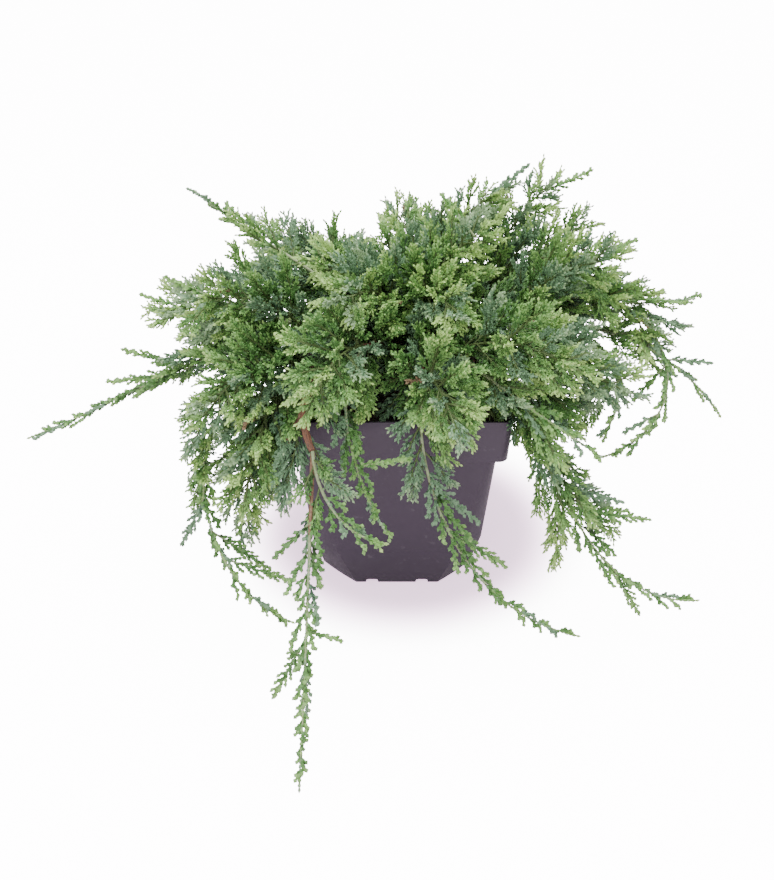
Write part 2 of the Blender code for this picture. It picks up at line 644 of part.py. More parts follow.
def build_masses(mat, paths):
    parts = {}
    stems = {}
    starts = stem_starts(paths)
    for shoot in SHOOTS:
        for name, path, begin, end in shoot_parts(shoot, starts[shoot.name]):
            parts[name] = (shoot, path, begin, end)
            stems[name] = path
    limbs = [(path, BOUGH_RADIUS) for path in paths.values()]
    limbs.append(([trunk_point(0), trunk_point(TRUNK_HIGH)], TRUNK_RADIUS))
    for name, (shoot, path, begin, end) in parts.items():
        width = STEM_TIP_RADIUS - STEM_RADIUS
        radii = [STEM_RADIUS + width * t for t in np.linspace(begin, end, len(path))]
        stem = add_mesh(name, *tube(path, radii, STEM_SIDES), mat)
        blades = mass_sprays(shoot, name, path, begin, end, stems, limbs)
        bodies = blades + [core(name, path, stems, limbs)] if is_tuft(shoot) else blades
        join(stem, [add_mesh("spray", corners, faces, mat) for corners, faces in bodies], "sprays")
        largest_body(stem)


def main():
    clear_scene()
    plastic = material("pot plastic", (0.062, 0.055, 0.068), 0.55)
    earth = material("soil", (0.045, 0.030, 0.020), 0.95)
    bark = material("bark", (0.200, 0.095, 0.050), 0.85)
    leaf = material("scale leaves", (0.060, 0.150, 0.060), 0.60)
    paths = {bough.name: bough_path(bough) for bough in BOUGHS}
    build_pot(plastic)
    build_soil(earth)
    build_trunk(bark)
    build_boughs(bark, paths)
    build_masses(leaf, paths)


if __name__ == "__main__":
    main()
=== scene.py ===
"""Creeping juniper in a square nursery pot: the finish of every surface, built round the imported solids.

Metres, +Z up, the origin at the middle of the pot's underside, -Y the front. The plant grows by the same
rule as its solids: boughs leave the trunk, shoots leave the boughs and sprays stand on the shoots. Here
the rule goes on to branchlets, and each branchlet is a cord of small overlapping leaf scales."""
import math
import random
from collections import namedtuple

import bmesh
import bpy
import numpy as np
from bpy.props import FloatProperty, FloatVectorProperty, PointerProperty
from mathutils import Matrix, Vector


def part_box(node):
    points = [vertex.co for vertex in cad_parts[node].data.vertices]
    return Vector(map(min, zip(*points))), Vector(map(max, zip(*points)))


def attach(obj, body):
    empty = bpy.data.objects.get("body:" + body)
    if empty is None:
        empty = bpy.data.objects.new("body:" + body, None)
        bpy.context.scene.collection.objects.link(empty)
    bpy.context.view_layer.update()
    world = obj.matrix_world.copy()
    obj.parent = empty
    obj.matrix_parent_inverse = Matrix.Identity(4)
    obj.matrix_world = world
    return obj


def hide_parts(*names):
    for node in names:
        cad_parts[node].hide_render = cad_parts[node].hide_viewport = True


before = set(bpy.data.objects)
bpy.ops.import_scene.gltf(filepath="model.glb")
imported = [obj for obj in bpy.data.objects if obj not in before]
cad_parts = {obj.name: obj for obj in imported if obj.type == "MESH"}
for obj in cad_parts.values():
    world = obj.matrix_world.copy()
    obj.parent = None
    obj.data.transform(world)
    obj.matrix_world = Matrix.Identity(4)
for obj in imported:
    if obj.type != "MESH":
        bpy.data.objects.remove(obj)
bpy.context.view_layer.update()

bl_info = {
    "name": "Potted Creeping Juniper",
    "version": (1, 0, 0),
    "blender": (4, 5, 0),
    "location": "3D View > Sidebar > Juniper",
    "description": "Builds a creeping juniper in its nursery pot",
    "category": "Add Mesh",
}

BODY = "root"
SEED = 11

# ---------------------------------------------------------------- sizes shared with the solids
GAP = 0.0003
POT_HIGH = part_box("pot")[1]
POT_HEIGHT = POT_HIGH[2]
RIM_HALF = POT_HIGH[0]
RIM_DEPTH = 0.033
RIM_STEP = 0.0055
WALL = 0.0016
FLOOR_Z = 0.0030
FLOOR_THICK = 0.0020
FOOT_Z = 0.033
SOIL_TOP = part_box("soil")[1][2]
NOTCH_WIDE = 0.009
NOTCH_HIGH = 0.003
NOTCH_AT = 0.018

TRUNK_FOOT = (0.003, 0.005)
TRUNK_TOP = (0.006, 0.008)
TRUNK_HIGH = 0.036
TRUNK_RADIUS = 0.0085
TRUNK_FLARE = 1.7
TRUNK_FLARE_FADE = 7.0
TRUNK_TIP_RADIUS = 0.0055
BOUGH_RADIUS = 0.0038
BOUGH_TIP_RADIUS = 0.0019
STEM_RADIUS = 0.0014
STEM_TIP_RADIUS = 0.0005

Bough = namedtuple("Bough", "name high heading slope reach")
Shoot = namedtuple("Shoot", "name foot heading slope reach spray bushy")

# Each bough: its height on the trunk, then the headings and the slopes in degrees at its start, middle
# and end (0 or 360 points to the right, 270 to the front, a slope under 0 falls), and its length.
BOUGHS = (
    Bough("bough_right", 0.019, (362, 358, 355), (40, 24, 8), 0.068),
    Bough("bough_back_right", 0.011, (38, 36, 40), (38, 24, 10), 0.062),
    Bough("bough_back", 0.021, (78, 80, 84), (40, 24, 12), 0.062),
    Bough("bough_back_left", 0.012, (120, 124, 120), (38, 24, 10), 0.062),
    Bough("bough_left_high", 0.026, (158, 157, 155), (42, 34, 30), 0.066),
    Bough("bough_left", 0.018, (190, 194, 192), (42, 24, 6), 0.066),
    Bough("bough_left_low", 0.006, (206, 216, 220), (30, 22, 6), 0.072),
    Bough("bough_front_left", 0.013, (232, 238, 300), (44, 2, -34), 0.148),
    Bough("bough_front", 0.025, (254, 244, 236), (44, 28, 10), 0.064),
    Bough("bough_front_middle", 0.010, (286, 278, 272), (48, 26, -14), 0.074),
    Bough("bough_front_right", 0.022, (306, 301, 300), (44, 28, 6), 0.062),
    Bough("bough_right_low", 0.007, (328, 320, 315), (36, 22, 0), 0.070),
)

# Each shoot: what its foot meets, headings and slopes as above, its length, its longest spray and the
# share of it that carries branches of sprays.
SHOOTS = (
    Shoot("shoot_left", "bough_left", (190, 186, 190), (-2, -25, -17), 0.206, 0.044, 0.38),
    Shoot("shoot_left_upper", "bough_left", (176, 176, 180), (24, 4, -8), 0.105, 0.046, 0.9),
    Shoot("shoot_left_high", "bough_left_high", (156, 156, 168), (28, 24, 41), 0.107, 0.036, 0.45),
    Shoot("shoot_left_low", "bough_left_low", (176, 275, 344), (4, -46, -11), 0.227, 0.036, 0.45),
    Shoot("shoot_left_inner", "bough_left_low", (232, 240, 266), (0, -58, -54), 0.132, 0.044, 0.8),
    Shoot("shoot_front_left", "bough_front_left", (269, 269, 267), (-38, -35, -45), 0.200, 0.034, 0.0),
    Shoot("shoot_front_short", "bough_front_left", (275, 312, 350), (-34, -30, 4), 0.081, 0.030, 0.35),
    Shoot("shoot_front_pale", "bough_front", (236, 286, 311), (-14, -46, -36), 0.127, 0.034, 0.2),
    Shoot("shoot_front", "bough_front_middle", (256, 319, 346), (-50, -49, -1), 0.206, 0.033, 0.24),
    Shoot("shoot_front_right", "bough_front_right", (296, 318, 328), (0, -14, -20), 0.122, 0.038, 0.4),
    Shoot("shoot_right_low", "bough_right_low", (312, 330, 342), (-24, -57, 24), 0.219, 0.046, 0.50),
    Shoot("shoot_right_inner", "bough_right", (362, 314, 200), (6, -29, -46), 0.136, 0.036, 0.35),
    Shoot("shoot_right_curl", "bough_right", (384, 302, 145), (34, -31, -30), 0.226, 0.038, 0.45),
    Shoot("shoot_right", "bough_right", (356, 352, 332), (7, -22, -52), 0.170, 0.038, 0.55),
    Shoot("shoot_right_upper", "bough_right", (374, 352, 376), (26, 2, 0), 0.128, 0.044, 0.6),
    Shoot("shoot_back_right", "bough_back_right", (34, 36, 30), (14, -16, -40), 0.175, 0.048, 0.6),
    Shoot("shoot_back", "bough_back", (84, 80, 76), (14, -14, -44), 0.165, 0.048, 0.6),
    Shoot("shoot_back_left", "bough_back_left", (122, 126, 132), (14, -16, -40), 0.170, 0.048, 0.6),
    Shoot("tuft_top_front", "trunk", (292, 292, 290), (74, 36, 4), 0.088, 0.048, 1.0),
    Shoot("tuft_top_right", "trunk", (340, 345, 350), (80, 60, 40), 0.085, 0.054, 1.0),
    Shoot("tuft_top_back_right", "trunk", (50, 34, 14), (84, 52, 28), 0.104, 0.046, 1.0),
    Shoot("tuft_top_back", "trunk", (110, 105, 100), (76, 44, 16), 0.066, 0.037, 1.0),
    Shoot("tuft_top_left", "trunk", (190, 186, 180), (78, 44, 12), 0.074, 0.042, 1.0),
    Shoot("tuft_top_front_left", "trunk", (240, 240, 236), (74, 38, 8), 0.088, 0.054, 1.0),
    Shoot("tuft_right", "bough_right", (345, 345, 345), (70, 40, 20), 0.075, 0.054, 1.0),
    Shoot("tuft_back_right", "bough_back_right", (20, 15, 10), (58, 34, 14), 0.082, 0.046, 1.0),
    Shoot("tuft_back_right_high", "bough_back_right", (56, 44, 28), (62, 46, 38), 0.092, 0.044, 1.0),
    Shoot("tuft_back", "bough_back", (100, 104, 106), (50, 22, 0), 0.064, 0.032, 1.0),
    Shoot("tuft_back_left", "bough_back_left", (140, 146, 150), (46, 22, -4), 0.066, 0.036, 1.0),
    Shoot("tuft_left", "bough_left", (205, 208, 210), (60, 30, 6), 0.075, 0.054, 1.0),
    Shoot("tuft_left_low", "bough_left_low", (226, 228, 232), (34, 6, -30), 0.080, 0.054, 1.0),
    Shoot("tuft_left_front", "bough_left_low", (240, 244, 250), (10, -30, -62), 0.092, 0.054, 1.0),
    Shoot("tuft_front", "bough_front", (244, 246, 246), (26, 4, -26), 0.066, 0.054, 1.0),
    Shoot("tuft_front_middle", "bough_front_middle", (280, 284, 288), (48, 12, -26), 0.062, 0.054, 1.0),
    Shoot("tuft_front_right", "bough_front_right", (318, 322, 326), (36, 12, -14), 0.080, 0.054, 1.0),
    Shoot("tuft_right_low", "bough_right_low", (330, 334, 338), (30, 6, -18), 0.082, 0.054, 1.0),
)

# The dry twig that hangs from the bare bough: the bough, its place along it, then as for a bough.
DRY_TWIG = Bough("bough_front_left", 0.80, (207, 228, 245), (-52, -46, -36), 0.027)
DRY_STUBS = ((0.35, 40, 0.007), (0.55, -44, 0.009), (0.75, 36, 0.006))    # place, turn and length

# Branches that fill the crown's edge. After the limb that they stand on comes for each its place along the
# limb, heading, slope, length and tone.
EDGE_BRANCHES = (
    ("bough_front_left", (0.50, 200, -30, 0.054, 0.05), (0.58, 190, -50, 0.060, 0.10),
     (0.66, 182, -62, 0.074, 0.05), (0.72, 330, -34, 0.040, 0.20), (0.80, 176, -70, 0.070, 0.05),
     (0.92, 318, -50, 0.034, 0.30)),
    ("bough_left_low", (0.80, 236, -30, 0.064, 0.10), (0.90, 252, -50, 0.066, 0.15),
     (0.95, 214, -56, 0.064, 0.10), (1.00, 214, -48, 0.064, 0.20)),
    ("bough_left", (0.90, 206, -16, 0.070, 0.20), (0.95, 178, -4, 0.078, 0.25), (1.00, 190, 6, 0.080, 0.30)),
    ("bough_right_low", (0.85, 308, -30, 0.060, 0.15), (0.92, 322, -44, 0.068, 0.20),
     (0.97, 336, -34, 0.074, 0.20), (1.00, 346, -20, 0.072, 0.25)),
    ("bough_right", (0.90, 340, -26, 0.070, 0.15)),
    ("bough_front_right", (0.90, 300, -20, 0.056, 0.20)),
    ("bough_right", (0.55, 24, 30, 0.060, 0.00), (0.75, 338, 24, 0.060, 0.05), (0.95, 20, 6, 0.074, 0.20)),
    ("bough_back_right", (0.75, 8, 16, 0.066, 0.05), (0.90, 352, 6, 0.070, 0.15),
     (0.95, 62, -6, 0.076, 0.15), (1.00, 20, -12, 0.080, 0.20), (0.85, 74, -30, 0.072, 0.10)),
    ("bough_back", (0.85, 52, -10, 0.074, 0.10), (0.92, 112, -10, 0.076, 0.15), (0.97, 64, -30, 0.076, 0.20),
     (1.00, 100, -34, 0.078, 0.20), (0.70, 84, 30, 0.060, 0.05)),
    ("bough_back_left", (0.85, 96, -10, 0.074, 0.10), (0.92, 150, -6, 0.076, 0.15),
     (0.97, 108, -30, 0.076, 0.20), (1.00, 142, -32, 0.078, 0.20), (0.70, 130, 28, 0.060, 0.05)),
    ("bough_left_high", (0.90, 172, 0, 0.074, 0.15), (0.95, 140, -10, 0.076, 0.15),
     (0.80, 186, 12, 0.056, 0.05)),
    ("bough_front_middle", (0.80, 296, -40, 0.050, 0.20), (0.70, 208, -46, 0.042, -0.10),
     (0.60, 250, -34, 0.040, -0.10)),
    ("bough_left_low", (0.50, 347, -46, 0.042, -0.10)),
    ("bough_front_left", (0.80, 246, -56, 0.062, 0.10)),
    ("bough_right_low", (1.00, 322, -50, 0.066, 0.15)),
    ("bough_front_right", (1.00, 322, -52, 0.072, 0.20)),
    ("shoot_right_low", (0.30, 318, -40, 0.052, 0.20)),
    ("shoot_right_inner", (0.60, 232, -40, 0.046, 0.15)),
    ("shoot_front_right", (0.50, 312, -36, 0.046, 0.25)),
    ("bough_right", (0.70, 330, 12, 0.046, 0.00)),
    ("tuft_front_right", (0.50, 82, 4, 0.036, 0.00)),
    ("tuft_top_left", (0.60, 100, 40, 0.036, 0.20)),
    ("tuft_top_back", (0.70, 192, 36, 0.034, 0.20)),
    ("bough_left_high", (0.90, 48, 40, 0.038, 0.15)),
    ("shoot_left_low", (0.40, 236, -64, 0.040, 0.15)),
    ("shoot_right_upper", (0.40, 290, 8, 0.042, 0.15)),
    ("tuft_right", (0.90, 330, -56, 0.044, 0.15)),
    ("shoot_back_right", (0.70, 268, -10, 0.040, 0.00)),
    ("tuft_left", (1.00, 250, -4, 0.042, 0.20)),
    ("shoot_right", (0.40, 278, 4, 0.040, 0.10)),
    ("shoot_right_curl", (0.50, 93, -49, 0.040, 0.10)),
    ("shoot_left_low", (0.40, 100, -36, 0.036, 0.10)),
    ("tuft_left_low", (1.00, 205, -56, 0.040, 0.20)),
    ("bough_front", (0.90, 262, -34, 0.052, 0.20)),
)

# Side shoots, which are long narrow sprays, in rows of the same kind.
SIDE_SHOOTS = (
    ("tuft_top_back_right", (1.0, 8, 40, 0.038, 0.30)),
    ("tuft_top_right", (1.0, 139, 40, 0.038, 0.25)),
    ("tuft_back_right_high", (1.0, 2, 22, 0.040, 0.35)),
    ("tuft_right", (1.0, 10, 30, 0.030, 0.35)),
    ("tuft_left", (0.98, 188, 32, 0.036, 0.35)),
    ("tuft_back_left", (1.0, 160, 24, 0.030, 0.25)),
    ("shoot_left", (0.46, 185, -10, 0.044, 0.35), (0.40, 186, 18, 0.044, 0.30)),
    ("shoot_left_upper", (0.74, 189, -22, 0.030, 0.30), (0.78, 189, 22, 0.030, 0.35)),
    ("shoot_right", (0.66, 352, 0, 0.032, 0.35)),
    ("shoot_right_curl", (0.60, 192, -52, 0.034, 0.30), (0.76, 191, -24, 0.026, 0.35)),
    ("shoot_right_low", (0.72, 347, -60, 0.042, 0.35), (0.47, 356, -11, 0.056, 0.30),
     (0.39, 354, -15, 0.046, 0.20)),
    ("shoot_front", (0.30, 353, -42, 0.044, 0.30), (0.45, 354, -38, 0.050, 0.30)),
    ("shoot_front_pale", (0.65, 353, 18, 0.036, 0.40), (0.46, 226, -76, 0.026, 0.40)),
    ("shoot_front_left", (0.30, 323, -74, 0.028, 0.30), (0.55, 348, -10, 0.022, 0.35),
     (0.57, 191, -64, 0.050, 0.30), (0.64, 270, -82, 0.038, 0.40), (0.22, 191, -45, 0.034, 0.15)),
    ("shoot_left_low", (0.72, 355, -22, 0.048, 0.30), (0.64, 354, -37, 0.046, 0.25),
     (0.54, 193, -64, 0.042, 0.20)),
)

# The greens, each a piece of its own: a row that runs from inside the crown out to its young tips, and a
# bluer row of the sprays that carry more bloom, with the tones at which the next one starts.
GREEN_ROW = ("deep", "green", "fresh", "young")
GREEN_FROM = (0.28, 0.56, 0.86)
BLUE_ROW = ("slate", "blue", "pale")
BLUE_FROM = (0.34, 0.80)


# ---------------------------------------------------------------- settings
def colour(name, text, value):
    return FloatVectorProperty(name=name, description=text, subtype="COLOR", size=3, min=0, max=1,
                               default=value)


def length(name, text, value):
    return FloatProperty(name=name, description=text, unit="LENGTH", min=0, default=value, precision=5)


class PotSettings(bpy.types.PropertyGroup):
    plastic: colour("Plastic", "Colour of the pot's plastic", (0.041, 0.031, 0.046))
    scuff: colour("Scuff", "Colour of the rubbed marks", (0.085, 0.075, 0.090))
    edge: length("Edge radius", "Rounding of the pot's moulded edges", 0.0007)
    soil: colour("Soil", "Colour of the soil", (0.030, 0.020, 0.014))
    crumb: length("Crumb size", "Size of the largest crumbs on the soil", 0.0042)


class BarkSettings(bpy.types.PropertyGroup):
    red: colour("Red bark", "Colour of the young flaking bark", (0.210, 0.088, 0.050))
    grey: colour("Grey bark", "Colour of the old bark", (0.085, 0.058, 0.048))
    relief: length("Relief", "Depth of the bark's strips", 0.0005)


class LeafSettings(bpy.types.PropertyGroup):
    pitch: length("Scale pitch", "From one ring of leaf scales to the next", 0.00258)
    radius: length("Cord radius", "Half the width of a cord of scales", 0.00092)
    step: length("Branchlet step", "From one branchlet to the next on a spray", 0.0016)
    branch_step: length("Spray step", "From one spray to the next on a branch", 0.0035)
    shoot_step: length("Shoot step", "From one spray to the next on a trailing shoot", 0.0062)
    tuft_step: length("Tuft step", "From one branch to the next on a tuft's stem", 0.0032)
    bough_step: length("Bough step", "From one branch to the next on a bough", 0.0038)
    deep: colour("Deep green", "Leaves inside the crown", (0.022, 0.064, 0.010))
    green: colour("Green", "Grown leaves", (0.088, 0.212, 0.052))
    fresh: colour("Fresh green", "Leaves near the tips", (0.192, 0.366, 0.100))
    young: colour("Young green", "The young tips", (0.375, 0.570, 0.170))
    slate: colour("Slate green", "Leaves with bloom inside the crown", (0.040, 0.088, 0.048))
    blue: colour("Blue green", "Grown leaves with bloom", (0.140, 0.256, 0.136))
    pale: colour("Pale green", "Tips and shoots with bloom", (0.255, 0.385, 0.200))
    dead: colour("Dead brown", "Dead sprays", (0.230, 0.150, 0.085))


class StageSettings(bpy.types.PropertyGroup):
    floor: colour("Floor", "Colour of the floor", (0.92, 0.76, 0.90))
    world: FloatProperty(name="Sky", description="Strength of the even light", min=0, default=1.2)
    glow: FloatProperty(name="Glow", description="Strength of the floor's own light", min=0, default=13.0)
    # The next five settings paint the pot's shadow on the floor: round a point by the pot the glow falls to a
    # share of its strength and turns lilac.
    painted_shadow_tint: colour("Glow colour", "Colour of that light near the pot", (1.0, 0.66, 0.93))
    painted_shadow_glow: FloatProperty(name="Glow by the pot", description="The share of the glow near the pot",
                       subtype="FACTOR", min=0, max=1, default=0.13)
    painted_shadow_middle: FloatVectorProperty(name="Dim middle", description="Where the floor is dimmest", size=2,
                                    unit="LENGTH", default=(0.007, 0.013))
    painted_shadow_from: length("Dim from", "The floor is dimmest up to this far from there", 0.080)
    painted_shadow_to: length("Dim to", "The floor has its whole glow from here", 0.155)
    key: FloatProperty(name="Key light", description="Power of the overhead light", unit="POWER", min=0,
                       default=24)
    lens: FloatProperty(name="Lens", description="Focal length in millimetres", min=1, default=50)
    elevation: FloatProperty(name="Camera height angle", description="Angle over the floor", subtype="ANGLE",
                             default=math.radians(33))
    distance: length("Camera distance", "From the camera to the plant's middle", 0.886)


class JuniperSettings(bpy.types.PropertyGroup):
    pot: PointerProperty(type=PotSettings, name="Pot", description="Sizes and colours of the pot and soil")
    bark: PointerProperty(type=BarkSettings, name="Bark", description="Looks of the bark")
    leaf: PointerProperty(type=LeafSettings, name="Leaves", description="Sizes and colours of the leaves")
    stage: PointerProperty(type=StageSettings, name="Stage", description="Floor, light and camera")


def settings():
    return bpy.context.scene.juniper


# ---------------------------------------------------------------- limbs, by the rule of the solids
def between(values, t):
    """The smooth value at t (0 to 1) through three values at its start, middle and end."""
    start, middle, end = values
    return start * (1 - t) * (1 - 2 * t) + middle * 4 * t * (1 - t) + end * t * (2 * t - 1)


def heading_vector(heading, slope):
    turn, rise = math.radians(heading), math.radians(slope)
    return np.array([math.cos(rise) * math.cos(turn), math.cos(rise) * math.sin(turn), math.sin(rise)])


def limb_path(start, heading, slope, reach, step=0.004):
    """Points along a limb that leaves start and turns evenly through its headings and slopes."""
    count = max(3, round(reach / step))
    points = [np.array(start, float)]
    for i in range(count):
        t = (i + 0.5) / count
        points.append(points[-1] + reach / count * heading_vector(between(heading, t), between(slope, t)))
    return np.array(points)


def trunk_point(high):
    t = high / TRUNK_HIGH
    foot, top = np.array(TRUNK_FOOT), np.array(TRUNK_TOP)
    return np.append(foot + (top - foot) * t, SOIL_TOP + GAP + high)


def trunk_radius(high):
    t = high / TRUNK_HIGH
    flare = (TRUNK_FLARE - 1) * math.exp(-t * TRUNK_FLARE_FADE)
    return TRUNK_RADIUS * (1 + flare) * (1 - t) + TRUNK_TIP_RADIUS * t


def bough_path(bough):
    out = heading_vector(bough.heading[0], 0)
    lift = 2 * GAP + BOUGH_RADIUS * math.sin(math.radians(bough.slope[0]))
    start = trunk_point(bough.high) + out * (trunk_radius(bough.high) + lift)
    return limb_path(start, bough.heading, bough.slope, bough.reach)


def unit(vector):
    return vector / np.linalg.norm(vector)


def perpendicular(vector, direction):
    return unit(vector - direction * float(np.dot(vector, direction)))


def along(points, t):
    """The point and the direction at t (0 to 1) of the way along a path."""
    place = t * (len(points) - 1)
    i = min(int(place), len(points) - 2)
    step = points[i + 1] - points[i]
    return points[i] + step * (place - i), unit(step)


def stem_starts(paths):
    """Where each shoot's stem starts: in a ring on its bough's tip, or on the trunk's top, in the order in
    which the stems turn away from it."""
    starts = {}
    for foot in dict.fromkeys(shoot.foot for shoot in SHOOTS):
        if foot == "trunk":
            tip, ahead = trunk_point(TRUNK_HIGH), np.array([0.0, 0.0, 1.0])
        else:
            tip, ahead = along(paths[foot], 1.0)
        across = perpendicular(np.array([0.1, 1.0, 0.0]), ahead)
        over = np.cross(ahead, across)
        shoots = [shoot for shoot in SHOOTS if shoot.foot == foot]
        outs = {shoot.name: heading_vector(shoot.heading[0], shoot.slope[0]) for shoot in shoots}
        turns = {name: math.atan2(out @ over, out @ across) for name, out in outs.items()}
        order = sorted(turns, key=turns.get)
        pitch = 2 * math.pi / len(order)
        drift = [turns[name] - pitch * k for k, name in enumerate(order)]
        first = math.atan2(sum(map(math.sin, drift)), sum(map(math.cos, drift)))
        ring = 0.0 if len(order) == 1 else (STEM_RADIUS + 1.2 * GAP) / math.sin(pitch / 2)
        for k, name in enumerate(order):
            turn = first + pitch * k
            around = across * math.cos(turn) + over * math.sin(turn)
            starts[name] = tip + ring * around + ahead * STEM_RADIUS
    return starts


def limb_paths():
    """The paths of all boughs, and of all shoots."""
    boughs = {bough.name: bough_path(bough) for bough in BOUGHS}
    starts = stem_starts(boughs)
    stems = {shoot.name: limb_path(starts[shoot.name], shoot.heading, shoot.slope, shoot.reach)
             for shoot in SHOOTS}
    return boughs, stems


# ---------------------------------------------------------------- growth
# Angles between a stem and what stands on it are a least and a most, in degrees.
SPRAY_ANGLES = (38, 58)     # on a stem in the crown
WHIP_ANGLES = (24, 42)      # on the trailing end of a shoot
BRANCH_ANGLES = (28, 46)    # of a spray on a branch
BRANCHLET_ANGLES = (30, 44)
BOUGH_ANGLES = (45, 75)
TUFT_TURN = 137.5           # how far round a tuft's stem the next branch stands
SPREAD = 80                 # how far out of line the branchlets stand in the crown
BRANCH_SPREAD = 55          # and the sprays on a branch
SPRAY_BEND = 0.20           # how far a spray turns back towards its stem's direction
BRANCH_BEND = 0.18
BRANCHLET_BEND = 0.22
SUB_SPREAD = 50             # as SPREAD, for the branchlets on a branchlet
WHIP_SPREAD = 30
SIDE_SPREAD = 40
BRANCHLETS_CLOSER = 8       # degrees less between a branchlet and its axis, from its foot to its tip
SPRAYS_CLOSER = 10
SHOOT_CLOSER = 18
BRANCHLETS_ON = (0.08, 0.86)    # where an axis's branchlets start, and the share of it that has them
SPRAYS_ON = (0.12, 0.74)
FACE_OUT = 8                # how far the faces of sprays turn away from the pot's middle
WHIP_PLUMP = 1.75           # a cord's width on the trailing end of a shoot, over that in the crown
WHIP_WIDE = 0.26            # as SPRAY_WIDE, for the long sprays there
SHOOT_SPRAYS = (0.14, 0.94)     # the part of a shoot that has sprays
SHORTER_FROM = 0.62         # the sprays of a shoot get shorter from here on
BARE_FOOT = 0.14            # the share of an axis that shows its twig
BRANCH_WIDE = 0.52          # the longest spray of a branch over the branch's length
SPRAY_WIDE = 0.42           # the longest branchlet of a spray over the spray's length
SPRAY_LEAST = 0.011
TIP_SPRAY_LEAST = 0.010
TIP_SPRAY = 0.36            # the spray at a branch's tip over the branch's length
TIP_SPRAY_FROM = 0.72
BOUGH_LEAFY = 0.075         # the length of a bough that carries branches
BOUGH_SPRAYS = (0.030, 0.046)
BRANCHLET_LEAST = 0.0040
SPRAY_TWIG = (0.0005, 0.0004)   # radius at the start and at the end
BRANCH_TWIG = (0.0007, 0.0004)
DRY_RADII = (0.0018, 0.0008)
STUB_RADII = (0.0009, 0.0004)
STUB_LEAN = 0.7
SUB_FROM = 0.0100           # a branchlet longer than this branches again
SUB_BARE = 0.003            # the length of it that has nothing on it
LEADER_FROM = 0.3           # the share of a shoot that shows its stem, before its leader of scales
LEADER_PIECE = 0.018
TONE_RISE = 0.34            # how much lighter a branch or a spray is at its tip
# Painted light: leaves over this height get lighter greens, standing in for the light on the crown's top.
PAINTED_LIGHT_ABOVE = 0.20            # the crown is lighter over this height
BUSHY_BLOOM = 0.36          # the share of sprays with bloom where a shoot is bushy
WHIP_BLOOM = 0.22
TUFT_BLOOM = 0.34
BOUGH_BLOOM = 0.4
SIDE_BLOOM = 0.25
UP = np.array([0.0, 0.0, 1.0])
EDGE_FACE = np.array([0.0, -0.4, 1.0])      # where the branches at the crown's edge face
SIDE_FACE = np.array([0.0, -0.6, 1.0])
STUB_FACE = np.array([0.0, -1.0, 0.5])
DEAD_SHARE = 0.05           # of the branches, which have one dead spray each
DEAD_ABOVE = 0.150
WOODY_UNDER = 0.05          # shoots less bushy than this have brown bark from the foot
WOODY_SHARE = 0.26
FLOOR_CLEAR = 0.0015
POT_CLEAR = 0.0004
CHECKED_POINTS = 9          # of an axis, when it is tested for the pot and the floor

# A cord of scales: its width swells from its foot, and its last ring is narrower.
SWELL_FOOT, SWELL, SWELL_TURN = 0.80, 0.32, 0.8
RING_OVERLAP = 1.12
LAST_WIDE, LAST_TALL = 0.92, 1.10
RING_FOOT, RING_WIDEST, RING_TIP = -0.55, 0.55, 1.20
RINGS_MOST = 32000          # rings of scales in one piece, of 6 triangles each


class Growth:
    """What has grown so far: cords of scales, and twigs by their finish."""

    def __init__(self, leaf):
        self.leaf = leaf
        self.cords = []
        self.twigs = {"green": [], "pale": [], "dry": []}

    def cord(self, root, ahead, bend, size, radius, tone, bloom):
        """A cord of scales from root along ahead that turns towards bend. tone runs from 0, deep inside the
        crown, to 1 at a young tip. bloom is 0 for the green colours, 1 for the bluer ones and 2 for a
        dead cord."""
        self.cords.append((*root, *ahead, *bend, size, radius, tone, bloom))

    def twig(self, finish, points, start, end):
        self.twigs[finish].append((np.array(points), start, end))


class Axis:
    """A stem that starts at root along forward and turns evenly by curve over its length."""

    def __init__(self, root, forward, curve, size):
        self.root, self.forward, self.curve, self.size = root, forward, curve, size

    def at(self, u):
        place = self.root + self.size * (self.forward * u + self.curve * u * u)
        return place, unit(self.forward + 2 * self.curve * u)

    def points(self, *shares):
        return [self.at(u)[0] for u in shares]

    def free(self):
        """The share of the axis before it meets the pot, the soil or the floor."""
        shares = np.linspace(0, 1, CHECKED_POINTS)
        met = in_the_way(np.array(self.points(*shares)))
        return shares[met.argmax()] if met.any() else 1.0


def spray_length(shoot, t):
    """Sprays are longest a third of the way along a stem and short at its tip."""
    return shoot.spray * (0.74 + 0.26 * math.sin(math.pi * min(1, t * 1.5)) - 0.26 * max(0, t - 0.4) / 0.6)


def leaf_shape(u):
    """The outline of a spray or a branch: its width at u of its length, over its greatest width."""
    return (0.62 + 1.15 * u) * (1 - u) ** 0.8


def spray_frame(path, t, turn, lean):
    """Root, direction and face of a spray t of the way along a stem, turned round it and leant out."""
    point, ahead = along(path, t)
    outward = np.array([point[0], point[1], 0.0]) * FACE_OUT
    face = perpendicular(np.array([0.0, 0.0, 1.0]) + outward, ahead)
    side = np.cross(face, ahead)
    out = side * math.cos(turn) + face * math.sin(turn)
    forward = ahead * math.cos(lean) + out * math.sin(lean)
    return point, ahead, forward, perpendicular(np.array([0.0, 0.0, 1.2]) + outward, forward)


def side_aim(heading, face, turn, lean):
    """The direction of what stands on an axis, turned round it from its side and leant forward."""
    side = np.cross(face, heading)
    out = perpendicular(side * math.cos(turn) + face * math.sin(turn), heading)
    return heading * math.cos(lean) + out * math.sin(lean)


def side_turn(chance, i, ruffle):
    """How far round its axis branchlet i stands, in radians: on alternate sides, out of line by ruffle."""
    return math.pi * (i % 2) + math.radians(chance.uniform(-ruffle, ruffle))


